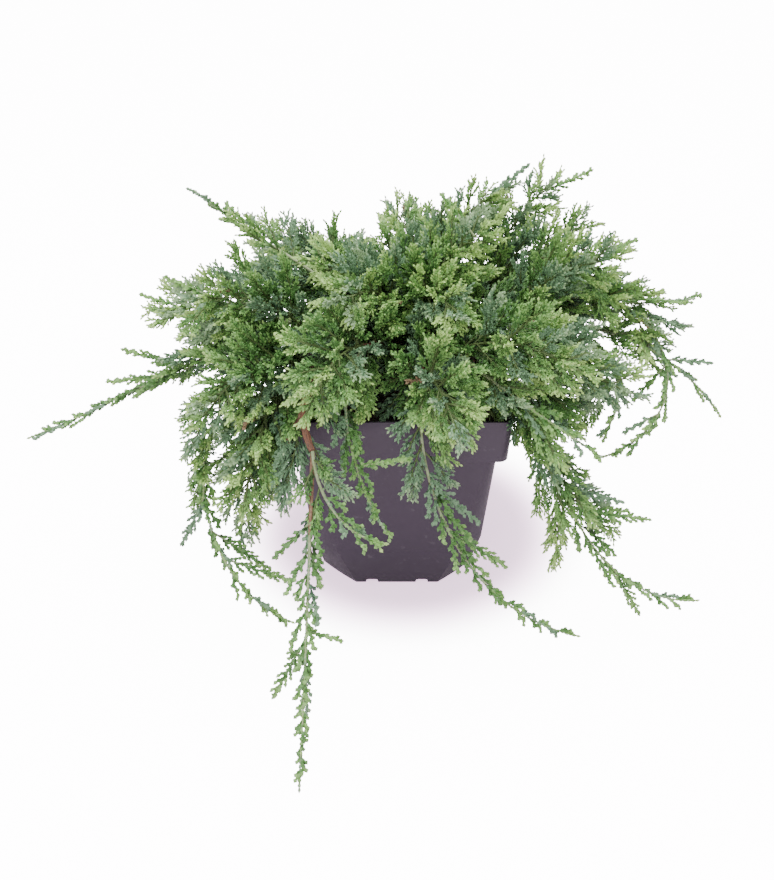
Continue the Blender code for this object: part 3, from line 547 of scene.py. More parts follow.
def grow_spray(growth, chance, root, ahead, forward, face, size, tone, bloom, ruffle, plump=1.0,
               share=SPRAY_WIDE):
    """A spray: an axis clad in scales that turns towards its stem's direction, with branchlets on
    alternate sides, and smaller ones on the long branchlets. A plump one has fewer and wider cords, and
    share is its longest branchlet over its length. Nothing grows from an axis that is in the way."""
    leaf = growth.leaf
    first = len(growth.cords)
    wide_cord = leaf.radius * plump
    step = leaf.step * (1.6 * plump - 0.6)
    axis = Axis(root, forward, (ahead - forward) * SPRAY_BEND + UP * chance.uniform(-0.08, 0.08), size)
    start, heading = axis.at(BARE_FOOT)
    growth.twig("green", axis.points(0.0, 0.4), *SPRAY_TWIG)
    growth.cord(start, heading, axis.curve * (1 - BARE_FOOT), size * (1 - BARE_FOOT), wide_cord,
                tone + 0.14, bloom)
    count = max(4, int(size / step))
    for i in range(count):
        u = BRANCHLETS_ON[0] + BRANCHLETS_ON[1] * (i + chance.uniform(0.1, 0.6)) / count
        point, heading = axis.at(u)
        lean = math.radians(chance.uniform(*BRANCHLET_ANGLES) - BRANCHLETS_CLOSER * u)
        aim = side_aim(heading, face, side_turn(chance, i, ruffle), lean)
        wide = max(BRANCHLET_LEAST, share * size * leaf_shape(u)) * chance.uniform(0.85, 1.15)
        bend = (heading - aim) * BRANCHLET_BEND
        here = tone + TONE_RISE * u + chance.uniform(-0.07, 0.07)
        growth.cord(point, aim, bend, wide, wide_cord * chance.uniform(0.88, 1.06), here, bloom)
        if wide < SUB_FROM:
            continue
        branchlet = Axis(point, aim, bend, wide)
        subs = int((wide - SUB_BARE) / step)
        for j in range(subs):
            v = (j + 0.7) / (subs + 0.5)
            place, run = branchlet.at(v)
            turn = side_turn(chance, j, SUB_SPREAD)
            lean = math.radians(chance.uniform(*BRANCHLET_ANGLES))
            twist = side_aim(run, face, turn, lean)
            small = BRANCHLET_LEAST * 0.8 + wide * 0.34 * (1 - v)
            growth.cord(place, twist, (run - twist) * 0.2, small, wide_cord * chance.uniform(0.82, 1.0),
                        here + 0.10 * v, bloom)
        if branchlet.free() < 1.0:
            del growth.cords[len(growth.cords) - subs:]
    if axis.free() < 1.0:
        del growth.cords[first:]


def grow_branch(growth, chance, root, ahead, forward, face, size, tone, bloom):
    """A branch of the crown: an axis with sprays on alternate sides and one at its tip."""
    leaf = growth.leaf
    axis = Axis(root, forward, (ahead - forward) * BRANCH_BEND + UP * chance.uniform(-0.10, 0.12), size)
    free = axis.free()
    growth.twig("green", axis.points(0.0, 0.3 * free, 0.6 * free, 0.9 * free), *BRANCH_TWIG)
    count = max(3, int(size / leaf.branch_step))
    dead = chance.randrange(count) if chance.random() < DEAD_SHARE and root[2] > DEAD_ABOVE else -1
    for i in range(count):
        u = SPRAYS_ON[0] + SPRAYS_ON[1] * (i + chance.uniform(0.1, 0.6)) / count
        point, heading = axis.at(u)
        lean = math.radians(chance.uniform(*BRANCH_ANGLES) - SPRAYS_CLOSER * u)
        aim = side_aim(heading, face, side_turn(chance, i, BRANCH_SPREAD), lean)
        wide = max(SPRAY_LEAST, BRANCH_WIDE * size * leaf_shape(u)) * chance.uniform(0.75, 1.15)
        first = len(growth.cords)
        grow_spray(growth, chance, point, heading, aim, perpendicular(face, aim), wide,
                   tone + TONE_RISE * u + chance.uniform(-0.12, 0.12), 2 if i == dead else bloom, SPREAD)
        if u > free:
            del growth.cords[first:]
    point, heading = axis.at(TIP_SPRAY_FROM)
    grow_spray(growth, chance, point, heading, heading, perpendicular(face, heading),
               max(TIP_SPRAY_LEAST, size * TIP_SPRAY), tone + TONE_RISE, bloom, SPREAD)


def grow_shoot(growth, shoot, path):
    """A trailing shoot: branches where it lies in the crown, then plump sprays on alternate sides that
    lean closer to it towards its tip, and a leader clad in scales."""
    leaf = growth.leaf
    chance = random.Random(f"{SEED} {shoot.name}")
    count = int(shoot.reach / leaf.shoot_step)
    for i in range(count):
        t = (i + chance.uniform(0.3, 0.9)) / count
        bushy = t < shoot.bushy
        angles = SPRAY_ANGLES if bushy else WHIP_ANGLES
        lean = math.radians(chance.uniform(*angles) - SHOOT_CLOSER * t)
        turn = math.radians(180 * (i % 2) + chance.uniform(-50, 50))
        root, ahead, forward, face = spray_frame(path, t, turn, lean)
        size = spray_length(shoot, t) * (1 - 0.30 * max(0, (t - SHORTER_FROM) / (1 - SHORTER_FROM)))
        tone = 0.06 + (0.50 if bushy else 0.30) * t + chance.uniform(-0.12, 0.12)
        bloom = int(chance.random() < (BUSHY_BLOOM if bushy else WHIP_BLOOM))
        if bushy:
            size *= chance.uniform(0.80, 1.05)
            grow_branch(growth, chance, root, ahead, forward, face, size, tone, bloom)
        elif SHOOT_SPRAYS[0] < t < SHOOT_SPRAYS[1]:
            long = i % 3 == 0
            size *= chance.uniform(0.70, 1.00) if long else chance.uniform(0.46, 0.68)
            grow_spray(growth, chance, root, ahead, forward, face, size, tone, bloom, WHIP_SPREAD, WHIP_PLUMP,
                       WHIP_WIDE if long else SPRAY_WIDE)
    growth.twig("pale", path, STEM_RADIUS * 0.85, STEM_TIP_RADIUS)
    if shoot.bushy < WOODY_UNDER:
        wood = [along(path, t)[0] for t in np.linspace(0, WOODY_SHARE, 8)]
        growth.twig("dry", wood, STEM_RADIUS * 1.25, STEM_RADIUS * 0.80)
    clad = 1 - LEADER_FROM
    pieces = max(2, int(shoot.reach * clad / LEADER_PIECE))
    for i in range(pieces):
        t = LEADER_FROM + clad * i / pieces
        point, ahead = along(path, t)
        after, later = along(path, min(1.0, t + clad / pieces))
        growth.cord(point, ahead, (later - ahead) / 2, np.linalg.norm(after - point),
                    leaf.radius * (1.80 - 0.60 * t), 0.42 + 0.3 * t, int(i % 3 == 0))


def grow_tuft(growth, shoot, path):
    """A tuft of the crown: branches all round its stem, and one at its tip."""
    leaf = growth.leaf
    chance = random.Random(f"{SEED} {shoot.name}")
    count = int(shoot.reach / leaf.tuft_step)
    for i in range(count + 1):
        t = min(1.0, (i + 0.8) / count)
        turn = math.radians(i * TUFT_TURN + chance.uniform(-25, 25))
        lean = math.radians(chance.uniform(*SPRAY_ANGLES)) if i < count else 0.0
        root, ahead, forward, face = spray_frame(path, t, turn, lean)
        size = spray_length(shoot, t) * chance.uniform(0.70, 1.0)
        # Painted light: tufts standing higher than that get lighter greens.
        tone = 0.36 * t + chance.uniform(-0.18, 0.18) + 2.0 * max(0.0, root[2] - PAINTED_LIGHT_ABOVE)
        bloom = int(chance.random() < TUFT_BLOOM)
        grow_branch(growth, chance, root, ahead, forward, face, size, tone, bloom)
    growth.twig("green", path, STEM_RADIUS * 0.75, STEM_TIP_RADIUS)


def grow_bough(growth, bough, path):
    """The branches that stand on a bough inside the crown."""
    leaf = growth.leaf
    chance = random.Random(f"{SEED} leaves {bough.name}")
    reach = min(bough.reach, BOUGH_LEAFY)
    count = int(reach / leaf.bough_step)
    for i in range(2, count):
        t = i / count * reach / bough.reach
        turn = math.radians(90 + chance.uniform(-110, 110))
        lean = math.radians(chance.uniform(*BOUGH_ANGLES))
        root, ahead, forward, face = spray_frame(path, t, turn, lean)
        grow_branch(growth, chance, root, ahead, forward, face, chance.uniform(*BOUGH_SPRAYS),
                    0.02 + chance.uniform(-0.1, 0.14), int(chance.random() < BOUGH_BLOOM))


def grow_dry_twig(growth, boughs):
    """The bare brown twig, with short stubs on it."""
    start, _ = along(boughs[DRY_TWIG.name], DRY_TWIG.high)
    path = limb_path(start, DRY_TWIG.heading, DRY_TWIG.slope, DRY_TWIG.reach)
    growth.twig("dry", path, *DRY_RADII)
    for t, turn, size in DRY_STUBS:
        point, ahead = along(path, t)
        aim = side_aim(ahead, perpendicular(STUB_FACE, ahead), math.radians(turn), STUB_LEAN)
        growth.twig("dry", [point, point + aim * size * 0.5, point + aim * size], *STUB_RADII)


def standing(rows, limbs):
    """For each branch of some rows its number, its foot, its direction, its length and its tone."""
    branches = [(limb, *branch) for limb, *others in rows for branch in others]
    for i, (limb, share, heading, slope, size, tone) in enumerate(branches):
        yield i, along(limbs[limb], share)[0], heading_vector(heading, slope), size, tone


def grow_edges(growth, boughs, stems):
    """The branches that fill the crown's edge, and the side shoots."""
    for i, point, forward, size, tone in standing(EDGE_BRANCHES, {**boughs, **stems}):
        chance = random.Random(f"{SEED} edge {i}")
        face = perpendicular(EDGE_FACE, forward)
        bloom = int(chance.random() < BOUGH_BLOOM)
        grow_branch(growth, chance, point, forward, forward, face, size, tone, bloom)
    for i, point, forward, size, tone in standing(SIDE_SHOOTS, stems):
        chance = random.Random(f"{SEED} side {i}")
        face = perpendicular(SIDE_FACE, forward)
        bloom = int(chance.random() < SIDE_BLOOM)
        grow_spray(growth, chance, point, forward, forward, face, size, tone, bloom, SIDE_SPREAD,
                   WHIP_PLUMP, WHIP_WIDE)
        growth.twig("pale", [point, point + forward * size * 0.5], STEM_RADIUS * 0.6, STEM_TIP_RADIUS)


def in_the_way(points):
    """Which points are in the pot, in its soil or under the floor."""
    high = points[:, 2]
    side = np.abs(points[:, :2]).max(axis=1)
    profile = np.array([(z, half) for z, half, _, _ in POT_PROFILE])
    half = np.interp(high, profile[:, 0], profile[:, 1])
    in_wall = (side < half + POT_CLEAR) & (high < POT_HEIGHT + POT_CLEAR)
    in_mouth = (side < half - WALL - POT_CLEAR) & (high > SOIL_TOP + POT_CLEAR)
    return (in_wall & ~in_mouth) | (high < FLOOR_CLEAR)


def clear_cords(cords):
    """The cords that keep clear of the pot and the floor."""
    root, ahead, bend, size = cords[:, :3], cords[:, 3:6], cords[:, 6:9], cords[:, 9:10]
    keep = np.ones(len(cords), bool)
    for u in (0.0, 0.5, 1.0):
        keep &= ~in_the_way(root + size * (ahead * u + bend * u * u))
    return cords[keep]


def scale_rings(cords, pitch):
    """Every ring of scales of every cord: place, direction, width, length, tone, bloom and number."""
    size = cords[:, 9]
    count = np.maximum(2, np.round(size / pitch)).astype(int)
    cord = np.repeat(np.arange(len(cords)), count)
    first = np.repeat(np.cumsum(count) - count, count)
    k = np.arange(len(cord)) - first
    u = k / count[cord]
    root, ahead, bend = cords[cord, :3], cords[cord, 3:6], cords[cord, 6:9]
    place = root + size[cord, None] * (ahead * u[:, None] + bend * (u * u)[:, None])
    heading = ahead + 2 * bend * u[:, None]
    heading /= np.linalg.norm(heading, axis=1)[:, None]
    last = k == count[cord] - 1
    swell = SWELL_FOOT + SWELL * np.sin(np.pi * SWELL_TURN * u)
    width = cords[cord, 10] * swell * np.where(last, LAST_WIDE, 1.0)
    step = size[cord] / count[cord]
    tall = step * np.where(last, LAST_TALL, RING_OVERLAP)
    tone = cords[cord, 11] + 0.20 * u + 0.07 * last
    return place, heading, width, tall, tone, cords[cord, 12], k


def turns_of(heading, k):
    """A quaternion for each ring that turns +Z to its heading, and each ring a sixth further round."""
    roll = np.radians(60.0) * (k % 2) + 0.9 * (k // 2) + heading[:, 0] * 3
    w = 1 + heading[:, 2]
    flipped = w < 1e-6
    lift = np.stack([w, -heading[:, 1], heading[:, 0], np.zeros(len(w))], 1)
    lift[flipped] = (0, 1, 0, 0)
    lift /= np.linalg.norm(lift, axis=1)[:, None]
    c, s = np.cos(roll / 2), np.sin(roll / 2)
    a, b, d, _ = lift.T
    return np.stack([a * c, b * c + d * s, d * c - b * s, a * s], 1)


def colour_rows(tone, bloom):
    """The name of the colour of each ring of scales, by its tone."""
    green = np.array(GREEN_ROW)[np.digitize(tone, GREEN_FROM)]
    blue = np.array(BLUE_ROW)[np.digitize(tone, BLUE_FROM)]
    return np.where(bloom == 2, "dead", np.where(bloom == 1, blue, green))


# ---------------------------------------------------------------- meshes
def new_item(name, data):
    item = bpy.data.objects.new(name, data)
    bpy.context.scene.collection.objects.link(item)
    return item


def mesh_piece(name, corners, faces, smooth=None):
    mesh = bpy.data.meshes.new(name)
    mesh.from_pydata([tuple(corner) for corner in corners], [], faces)
    mesh.validate()
    if smooth is not None:
        mesh.shade_smooth()
        mesh.set_sharp_from_angle(angle=math.radians(smooth))
    return new_item(name, mesh)


def attribute(mesh, name, kind, values):
    """Keeps values on the mesh's points under a name."""
    field = "vector" if kind == "FLOAT_VECTOR" else "value"
    mesh.attributes.new(name, kind, "POINT").data.foreach_set(field, np.array(values, np.float32).ravel())


def line_object(name, lines):
    """Many open paths as edges. Each line is its points and its radius at the start and at the end."""
    corners, edges, thick = [], [], []
    for points, start, end in lines:
        base = len(corners)
        corners.extend(map(tuple, points))
        edges.extend((base + i, base + i + 1) for i in range(len(points) - 1))
        thick.extend(np.linspace(start, end, len(points)))
    mesh = bpy.data.meshes.new(name)
    mesh.from_pydata(corners, edges, [])
    attribute(mesh, "thick", "FLOAT", thick)
    return new_item(name, mesh)


def point_object(name, place, width, tall, turns):
    """Points that each carry the size and the turn of a ring of scales."""
    mesh = bpy.data.meshes.new(name)
    mesh.vertices.add(len(place))
    mesh.vertices.foreach_set("co", np.ascontiguousarray(place, np.float32).ravel())
    attribute(mesh, "size", "FLOAT_VECTOR", np.stack([width, width, tall], 1))
    attribute(mesh, "turn", "QUATERNION", turns)
    return new_item(name, mesh)


def solid_of(item):
    """The item's mesh with its modifiers applied."""
    return bpy.data.meshes.new_from_object(item.evaluated_get(bpy.context.evaluated_depsgraph_get()))


def solved(item, tree, **inputs):
    """Runs a Geometry Nodes tree on an item, with inputs by name, and keeps its result as a plain mesh."""
    change = item.modifiers.new(tree.name, "NODES")
    change.node_group = tree
    for socket in tree.interface.items_tree:
        if socket.in_out == "INPUT" and socket.name in inputs:
            change[socket.identifier] = inputs[socket.name]
    item.update_tag()
    mesh, old = solid_of(item), item.data
    item.modifiers.remove(change)
    item.data = mesh
    bpy.data.meshes.remove(old)
    mesh.name = item.name
    for name in [a.name for a in mesh.attributes if a.name in ("turn", "size", "thick")]:
        mesh.attributes.remove(mesh.attributes[name])
    if not mesh.polygons:
        raise RuntimeError(f"{item.name}: the node tree made no faces")
    return item


# ---------------------------------------------------------------- nodes
def new_group(kind, name, inputs, outputs):
    """A node group with what it is given and what it puts out. Each input is a name, a kind and a value."""
    group = bpy.data.node_groups.new(name, kind)
    for in_out, rows in (("INPUT", inputs), ("OUTPUT", outputs)):
        for label, socket_kind, *value in rows:
            socket = group.interface.new_socket(label, in_out=in_out, socket_type="NodeSocket" + socket_kind)
            if value:
                socket.default_value = value[0]
    return group, group.nodes.new("NodeGroupInput").outputs, group.nodes.new("NodeGroupOutput").inputs


def node_in(tree, kind, *values, **named_values):
    """A node. Values go to its inputs in order, and capitalised names to its inputs by name. A socket is
    linked and None leaves an input as it is. The other names are the node's own options."""
    node = tree.nodes.new(kind)
    inputs = dict(enumerate(values))
    for name, value in named_values.items():
        if name[0].isupper():
            inputs[name.replace("_", " ")] = value
        else:
            setattr(node, name, value)
    for key, value in inputs.items():
        if isinstance(value, bpy.types.NodeSocket):
            tree.links.new(value, node.inputs[key])
        elif value is not None:
            node.inputs[key].default_value = value
    return node


def node_out(tree, kind, *values, **named_values):
    """The first output of a new node."""
    return node_in(tree, kind, *values, **named_values).outputs[0]


def maths(tree, operation, *values):
    return node_out(tree, "ShaderNodeMath", *values, operation=operation)


def camera_ray(tree):
    return tree.nodes.new("ShaderNodeLightPath").outputs["Is Camera Ray"]


# ---------------------------------------------------------------- geometry trees
def geometry_tree(name, *inputs):
    """A Geometry Nodes tree with its inputs, a material and its result."""
    shape = ("Geometry", "Geometry")
    return new_group("GeometryNodeTree", name, (shape, *inputs, ("Material", "Material")), (shape,))


def put_out(tree, given, end, geometry):
    """Makes copies real, gives the geometry the tree's material and puts it out."""
    real = node_out(tree, "GeometryNodeRealizeInstances", geometry)
    dressed = node_out(tree, "GeometryNodeSetMaterial", Geometry=real, Material=given["Material"])
    tree.links.new(dressed, end["Geometry"])
    return tree


def named(tree, name, kind):
    return node_out(tree, "GeometryNodeInputNamedAttribute", Name=name, data_type=kind)


def stored(tree, geometry, name, kind, value):
    """The geometry with a value kept on its points under a name."""
    return node_out(tree, "GeometryNodeStoreNamedAttribute", Geometry=geometry, Name=name, Value=value,
                    data_type=kind, domain="POINT")


def copies_on(tree, points, item, turn, size):
    """A copy of an item on each point."""
    body = node_in(tree, "GeometryNodeObjectInfo", Object=item, As_Instance=True).outputs["Geometry"]
    return node_out(tree, "GeometryNodeInstanceOnPoints", Points=points, Instance=body, Rotation=turn,
                    Scale=size)


def tube_along(tree, line, profile, thick):
    return node_out(tree, "GeometryNodeCurveToMesh", Curve=line, Profile_Curve=profile, Scale=thick,
                    Fill_Caps=True)


def unit_circle(tree, sides):
    return node_out(tree, "GeometryNodeCurvePrimitiveCircle", Resolution=sides, Radius=1.0)


def smoothed(tree, mesh):
    return node_out(tree, "GeometryNodeSetShadeSmooth", Geometry=mesh, Shade_Smooth=True)


def scale_tree():
    """A ring of leaf scales on each point, turned, widened and stretched by the point's own values."""
    tree, given, end = geometry_tree(
        "Leaf scales", ("Ring", "Object"), ("Width", "Float", 1.0), ("Length", "Float", 1.0))
    stretch = node_out(tree, "ShaderNodeCombineXYZ", given["Width"], given["Width"], given["Length"])
    size = node_out(tree, "ShaderNodeVectorMath", named(tree, "size", "FLOAT_VECTOR"), stretch,
                    operation="MULTIPLY")
    turn = named(tree, "turn", "QUATERNION")
    return put_out(tree, given, end, copies_on(tree, given["Geometry"], given["Ring"], turn, size))


def twig_tree():
    """A round twig along every line, as thick as its points say."""
    tree, given, end = geometry_tree("Twigs", ("Sides", "Int", 5), ("Thickness", "Float", 1.0))
    line = node_out(tree, "GeometryNodeMeshToCurve", given["Geometry"])
    thick = maths(tree, "MULTIPLY", named(tree, "thick", "FLOAT"), given["Thickness"])
    tube = tube_along(tree, line, unit_circle(tree, given["Sides"]), thick)
    return put_out(tree, given, end, smoothed(tree, tube))


def bark_tree():
    """A limb along a line, with bark in long strips that stand out from it."""
    tree, given, end = geometry_tree(
        "Bark limb", ("Sides", "Int", 28), ("Ring step", "Float", 0.0009), ("Relief", "Float", 0.0005),
        ("Strips", "Float", 2.6), ("Strip stretch", "Float", 90.0))
    line = node_out(tree, "GeometryNodeMeshToCurve", given["Geometry"])
    line = node_out(tree, "GeometryNodeCurveSplineType", Curve=line, spline_type="CATMULL_ROM")
    line = node_out(tree, "GeometryNodeResampleCurve", Curve=line, Length=given["Ring step"], mode="LENGTH")
    place = tree.nodes.new("GeometryNodeSplineParameter").outputs["Length"]
    line = stored(tree, line, "far", "FLOAT", place)
    around = node_out(tree, "GeometryNodeInputPosition")
    ring = stored(tree, unit_circle(tree, given["Sides"]), "around", "FLOAT_VECTOR", around)
    tube = tube_along(tree, line, ring, named(tree, "thick", "FLOAT"))
    turn = node_out(tree, "ShaderNodeVectorMath", named(tree, "around", "FLOAT_VECTOR"),
                    Scale=given["Strips"], operation="SCALE")
    run = maths(tree, "MULTIPLY", named(tree, "far", "FLOAT"), given["Strip stretch"])
    lift = node_out(tree, "ShaderNodeCombineXYZ", Z=run)
    spot = node_out(tree, "ShaderNodeVectorMath", turn, lift, operation="ADD")
    tube = stored(tree, tube, "grain", "FLOAT_VECTOR", spot)
    noise = node_out(tree, "ShaderNodeTexNoise", Vector=named(tree, "grain", "FLOAT_VECTOR"), Scale=1.0,
                     Detail=3.0)
    high = node_out(tree, "ShaderNodeMapRange", Value=noise, From_Min=0.35, From_Max=0.68, To_Min=-0.6)
    out = node_out(tree, "ShaderNodeVectorMath", node_out(tree, "GeometryNodeInputNormal"),
                   Scale=maths(tree, "MULTIPLY", high, given["Relief"]), operation="SCALE")
    moved = node_out(tree, "GeometryNodeSetPosition", Geometry=tube, Offset=out)
    return put_out(tree, given, end, smoothed(tree, moved))


def crumb_tree():
    """Crumbs strewn over a surface, turned and sized at random."""
    tree, given, end = geometry_tree(
        "Crumbs", ("Crumb", "Object"), ("Density", "Float", 60000.0), ("Smallest", "Float", 0.001),
        ("Largest", "Float", 0.004), ("Seed", "Int", 3))
    points = node_out(tree, "GeometryNodeDistributePointsOnFaces", Mesh=given["Geometry"],
                      Density=given["Density"], Seed=given["Seed"])
    turn = node_out(tree, "FunctionNodeRandomValue", None, (2 * math.pi,) * 3, Seed=given["Seed"],
                    data_type="FLOAT_VECTOR")
    size = node_in(tree, "FunctionNodeRandomValue", None, None, given["Smallest"], given["Largest"],
                   data_type="FLOAT").outputs[1]
    crumbs = copies_on(tree, points, given["Crumb"], turn, size)
    both = node_in(tree, "GeometryNodeJoinGeometry", given["Geometry"])
    tree.links.new(crumbs, both.inputs[0])
    return put_out(tree, given, end, both.outputs[0])


# ---------------------------------------------------------------- materials
def mottle_group():
    """Mixes two colours in soft blotches, and puts out the blotches as a mask too."""
    group, given, end = new_group(
        "ShaderNodeTree", "Mottle",
        (("Vector", "Vector", (0, 0, 0)), ("Scale", "Float", 200.0), ("Low", "Float", 0.35),
         ("High", "Float", 0.65), ("Color A", "Color", (1, 1, 1, 1)), ("Color B", "Color", (0, 0, 0, 1))),
        (("Color", "Color"), ("Mask", "Float")))
    noise = node_out(group, "ShaderNodeTexNoise", Vector=given["Vector"], Scale=given["Scale"], Detail=4.0)
    mask = node_out(group, "ShaderNodeMapRange", Value=noise, From_Min=given["Low"], From_Max=given["High"])
    mix = node_in(group, "ShaderNodeMix", mask, data_type="RGBA")
    first, second = [socket for socket in mix.inputs if socket.type == "RGBA"]
    group.links.new(given["Color A"], first)
    group.links.new(given["Color B"], second)
    group.links.new([socket for socket in mix.outputs if socket.type == "RGBA"][0], end["Color"])
    group.links.new(mask, end["Mask"])
    return group


def new_material(name, base, roughness):
    mat = bpy.data.materials.new(name)
    mat.use_nodes = True
    shader = mat.node_tree.nodes["Principled BSDF"]
    for label, value in (("Base Color", (*base, 1.0)), ("Roughness", roughness), ("Metallic", 0.0)):
        shader.inputs[label].default_value = value
    return mat, mat.node_tree, shader


def mottled(tree, place, scale, low, high, first, second):
    """The colour and the mask of two colours in blotches. Each is three numbers or a socket."""
    first, second = (value if isinstance(value, bpy.types.NodeSocket) else (*value, 1.0)
                     for value in (first, second))
    node = node_in(tree, "ShaderNodeGroup", node_tree=bpy.data.node_groups.get("Mottle") or mottle_group(),
                   Vector=place, Scale=scale, Low=low, High=high, Color_A=first, Color_B=second)
    return node.outputs["Color"], node.outputs["Mask"]


def object_place(tree):
    return tree.nodes.new("ShaderNodeTexCoord").outputs["Object"]


def bumped(tree, shader, height, strength, distance):
    bump = node_out(tree, "ShaderNodeBump", Strength=strength, Distance=distance, Height=height)
    tree.links.new(bump, shader.inputs["Normal"])


def darker(value, share):
    return tuple(part * share for part in value)


def mottled_material(name, base, roughness, scale, low, high, first, second, strength, distance=0.0002):
    """Two colours in blotches that stand out a little."""
    mat, tree, shader = new_material(name, base, roughness)
    marks, mask = mottled(tree, object_place(tree), scale, low, high, first, second)
    tree.links.new(marks, shader.inputs["Base Color"])
    bumped(tree, shader, mask, strength, distance)
    return mat


def leaf_material(name, value):
    """Scale leaves: a waxy green with small lighter and darker marks."""
    return mottled_material(name, value, 0.52, 520.0, 0.36, 0.64, darker(value, 0.80), darker(value, 1.22),
                            0.25)


def twig_material(name, first, second):
    return mottled_material(name, first, 0.62, 300.0, 0.40, 0.62, first, second, 0.3)


def bark_material(bark):
    """Young bark: red-brown strips that flake from a greyer bark."""
    mat, tree, shader = new_material("flaking bark", bark.red, 0.78)
    grain = node_in(tree, "ShaderNodeAttribute", attribute_name="grain").outputs["Vector"]
    strips, _ = mottled(tree, grain, 1.0, 0.38, 0.60, bark.grey, bark.red)
    fine, mask = mottled(tree, grain, 4.2, 0.40, 0.70, strips, darker(bark.red, 1.35))
    tree.links.new(fine, shader.inputs["Base Color"])
    bumped(tree, shader, mask, 0.5, 0.0003)
    return mat


def plastic_material(pot):
    """Moulded plastic: a satin finish with a fine grain, rubbed marks and a little dust."""
    mat, tree, shader = new_material("pot plastic", pot.plastic, 0.42)
    place = object_place(tree)
    body, mask = mottled(tree, place, 26.0, 0.30, 0.72, pot.plastic, darker(pot.plastic, 1.16))
    rubbed, _ = mottled(tree, place, 160.0, 0.64, 0.78, body, pot.scuff)
    tree.links.new(rubbed, shader.inputs["Base Color"])
    rough = node_out(tree, "ShaderNodeMapRange", Value=mask, To_Min=0.36, To_Max=0.56)
    tree.links.new(rough, shader.inputs["Roughness"])
    grain = node_out(tree, "ShaderNodeTexNoise", Vector=place, Scale=1400.0, Detail=2.0)
    bumped(tree, shader, grain, 0.10, 0.0002)
    return mat


def soil_material(pot):
    return mottled_material("soil", pot.soil, 0.95, 260.0, 0.42, 0.66, pot.soil, darker(pot.soil, 2.6), 0.8,
                            0.0008)


def floor_material(stage):
    """A pale floor that glows towards the viewer only, as a lit table does, with a painted shadow round the
    pot: there the glow is dimmed and tinted lilac.
    """
    mat, tree, shader = new_material("pale floor", stage.floor, 0.75)
    place = object_place(tree)
    # Painted shadow: the glow is dimmest round a point by the pot and grows to its whole strength further
    # out.
    away = node_in(tree, "ShaderNodeVectorMath", place, (*stage.painted_shadow_middle, 0.0), operation="DISTANCE")
    far = node_out(tree, "ShaderNodeMapRange", Value=away.outputs["Value"], From_Min=stage.painted_shadow_from,
                   From_Max=stage.painted_shadow_to, To_Min=stage.painted_shadow_glow, To_Max=1.0, interpolation_type="SMOOTHERSTEP")
    glow = maths(tree, "MULTIPLY", maths(tree, "MULTIPLY", far, stage.glow), camera_ray(tree))
    tree.links.new(glow, shader.inputs["Emission Strength"])
    # Painted shadow tint: the glow turns lilac where it is dimmed by the pot.
    painted_shadow_ramp = node_in(tree, "ShaderNodeValToRGB", far)
    near, wide = painted_shadow_ramp.color_ramp.elements
    near.position, wide.position = stage.painted_shadow_glow, 0.8
    near.color, wide.color = (*stage.painted_shadow_tint, 1.0), (1.0, 1.0, 1.0, 1.0)
    tree.links.new(painted_shadow_ramp.outputs["Color"], shader.inputs["Emission Color"])
    marks, _ = mottled(tree, place, 3.0, 0.2, 0.8, stage.floor, darker(stage.floor, 0.992))
    tree.links.new(marks, shader.inputs["Base Color"])
    return mat


# ---------------------------------------------------------------- the pot and its soil
# The pot's outside from its feet up: height, half width, corner cut, and how round the corners are.
POT_PROFILE = (
    (0.0, 0.0540, 0.0245, 0.10),
    (FOOT_Z, 0.0604, 0.0180, 0.25),
    (POT_HEIGHT - RIM_DEPTH, RIM_HALF - 0.0025 - RIM_STEP, 0.0080, 1.0),
    (POT_HEIGHT - RIM_DEPTH + 0.0008, RIM_HALF - 0.0020, 0.0060, 1.0),
    (POT_HEIGHT, RIM_HALF, 0.0055, 1.0),
)
INNER_LEVELS = (POT_HEIGHT, POT_HEIGHT - RIM_DEPTH - WALL, FOOT_Z, FLOOR_Z + FLOOR_THICK)
CORNER_INSET = 0.6
CORNER_POINTS = 9
WALL_RINGS = 12
CUT_FROM = -0.01            # cutters start this far under the pot
CUT_TO = 0.02
NOTCH_CUT = (0.046, 0.07)   # from the middle outwards
PAD_RADIUS = 0.016
DRAIN_AT = 0.034
DRAIN_RADIUS = 0.0045
BEVEL_ANGLE = 35
SHARP_ANGLE = 40
SOIL_SQUARES = 46
SOIL_WAVES = 14
SOIL_SINK = 0.0016
SOIL_SWELL = 0.0020
SOIL_BODY_UNDER = 0.0012    # the soil's body ends this far under its top
CRUMB_DENSITY = 52000.0     # crumbs on a square metre
CRUMB_SIZES = (0.2, 0.75)   # the smallest and the largest, over the setting


def square_ring(half, corner, round_out, z, points=CORNER_POINTS):
    """A square with cut corners. round_out is 0 for a flat cut and 1 for a quarter circle."""
    ring = []
    for quarter in range(4):
        turn = math.radians(90 * quarter)
        for k in range(points):
            a = math.radians(90 * k / (points - 1))
            flat = k / (points - 1)
            x = half - corner + corner * ((1 - flat) * (1 - round_out) + math.cos(a) * round_out)
            y = half - corner + corner * (flat * (1 - round_out) + math.sin(a) * round_out)
            ring.append((x * math.cos(turn) - y * math.sin(turn), x * math.sin(turn) + y * math.cos(turn), z))
    return ring


def pot_half(z):
    """Half width, corner cut and roundness of the pot's outside at a height."""
    for (z0, *low), (z1, *high) in zip(POT_PROFILE, POT_PROFILE[1:]):
        if z <= z1:
            t = (z - z0) / (z1 - z0)
            return [a + (b - a) * t for a, b in zip(low, high)]
    return list(POT_PROFILE[-1][1:])


def inside_ring(z, inset):
    for high, low in zip(INNER_LEVELS, INNER_LEVELS[1:]):
        if z >= low or low == INNER_LEVELS[-1]:
            t = (z - low) / (high - low)
            half, corner, round_out = (a + (b - a) * t for a, b in zip(pot_half(low), pot_half(high)))
            return square_ring(half - inset, corner - inset * CORNER_INSET, round_out, z)


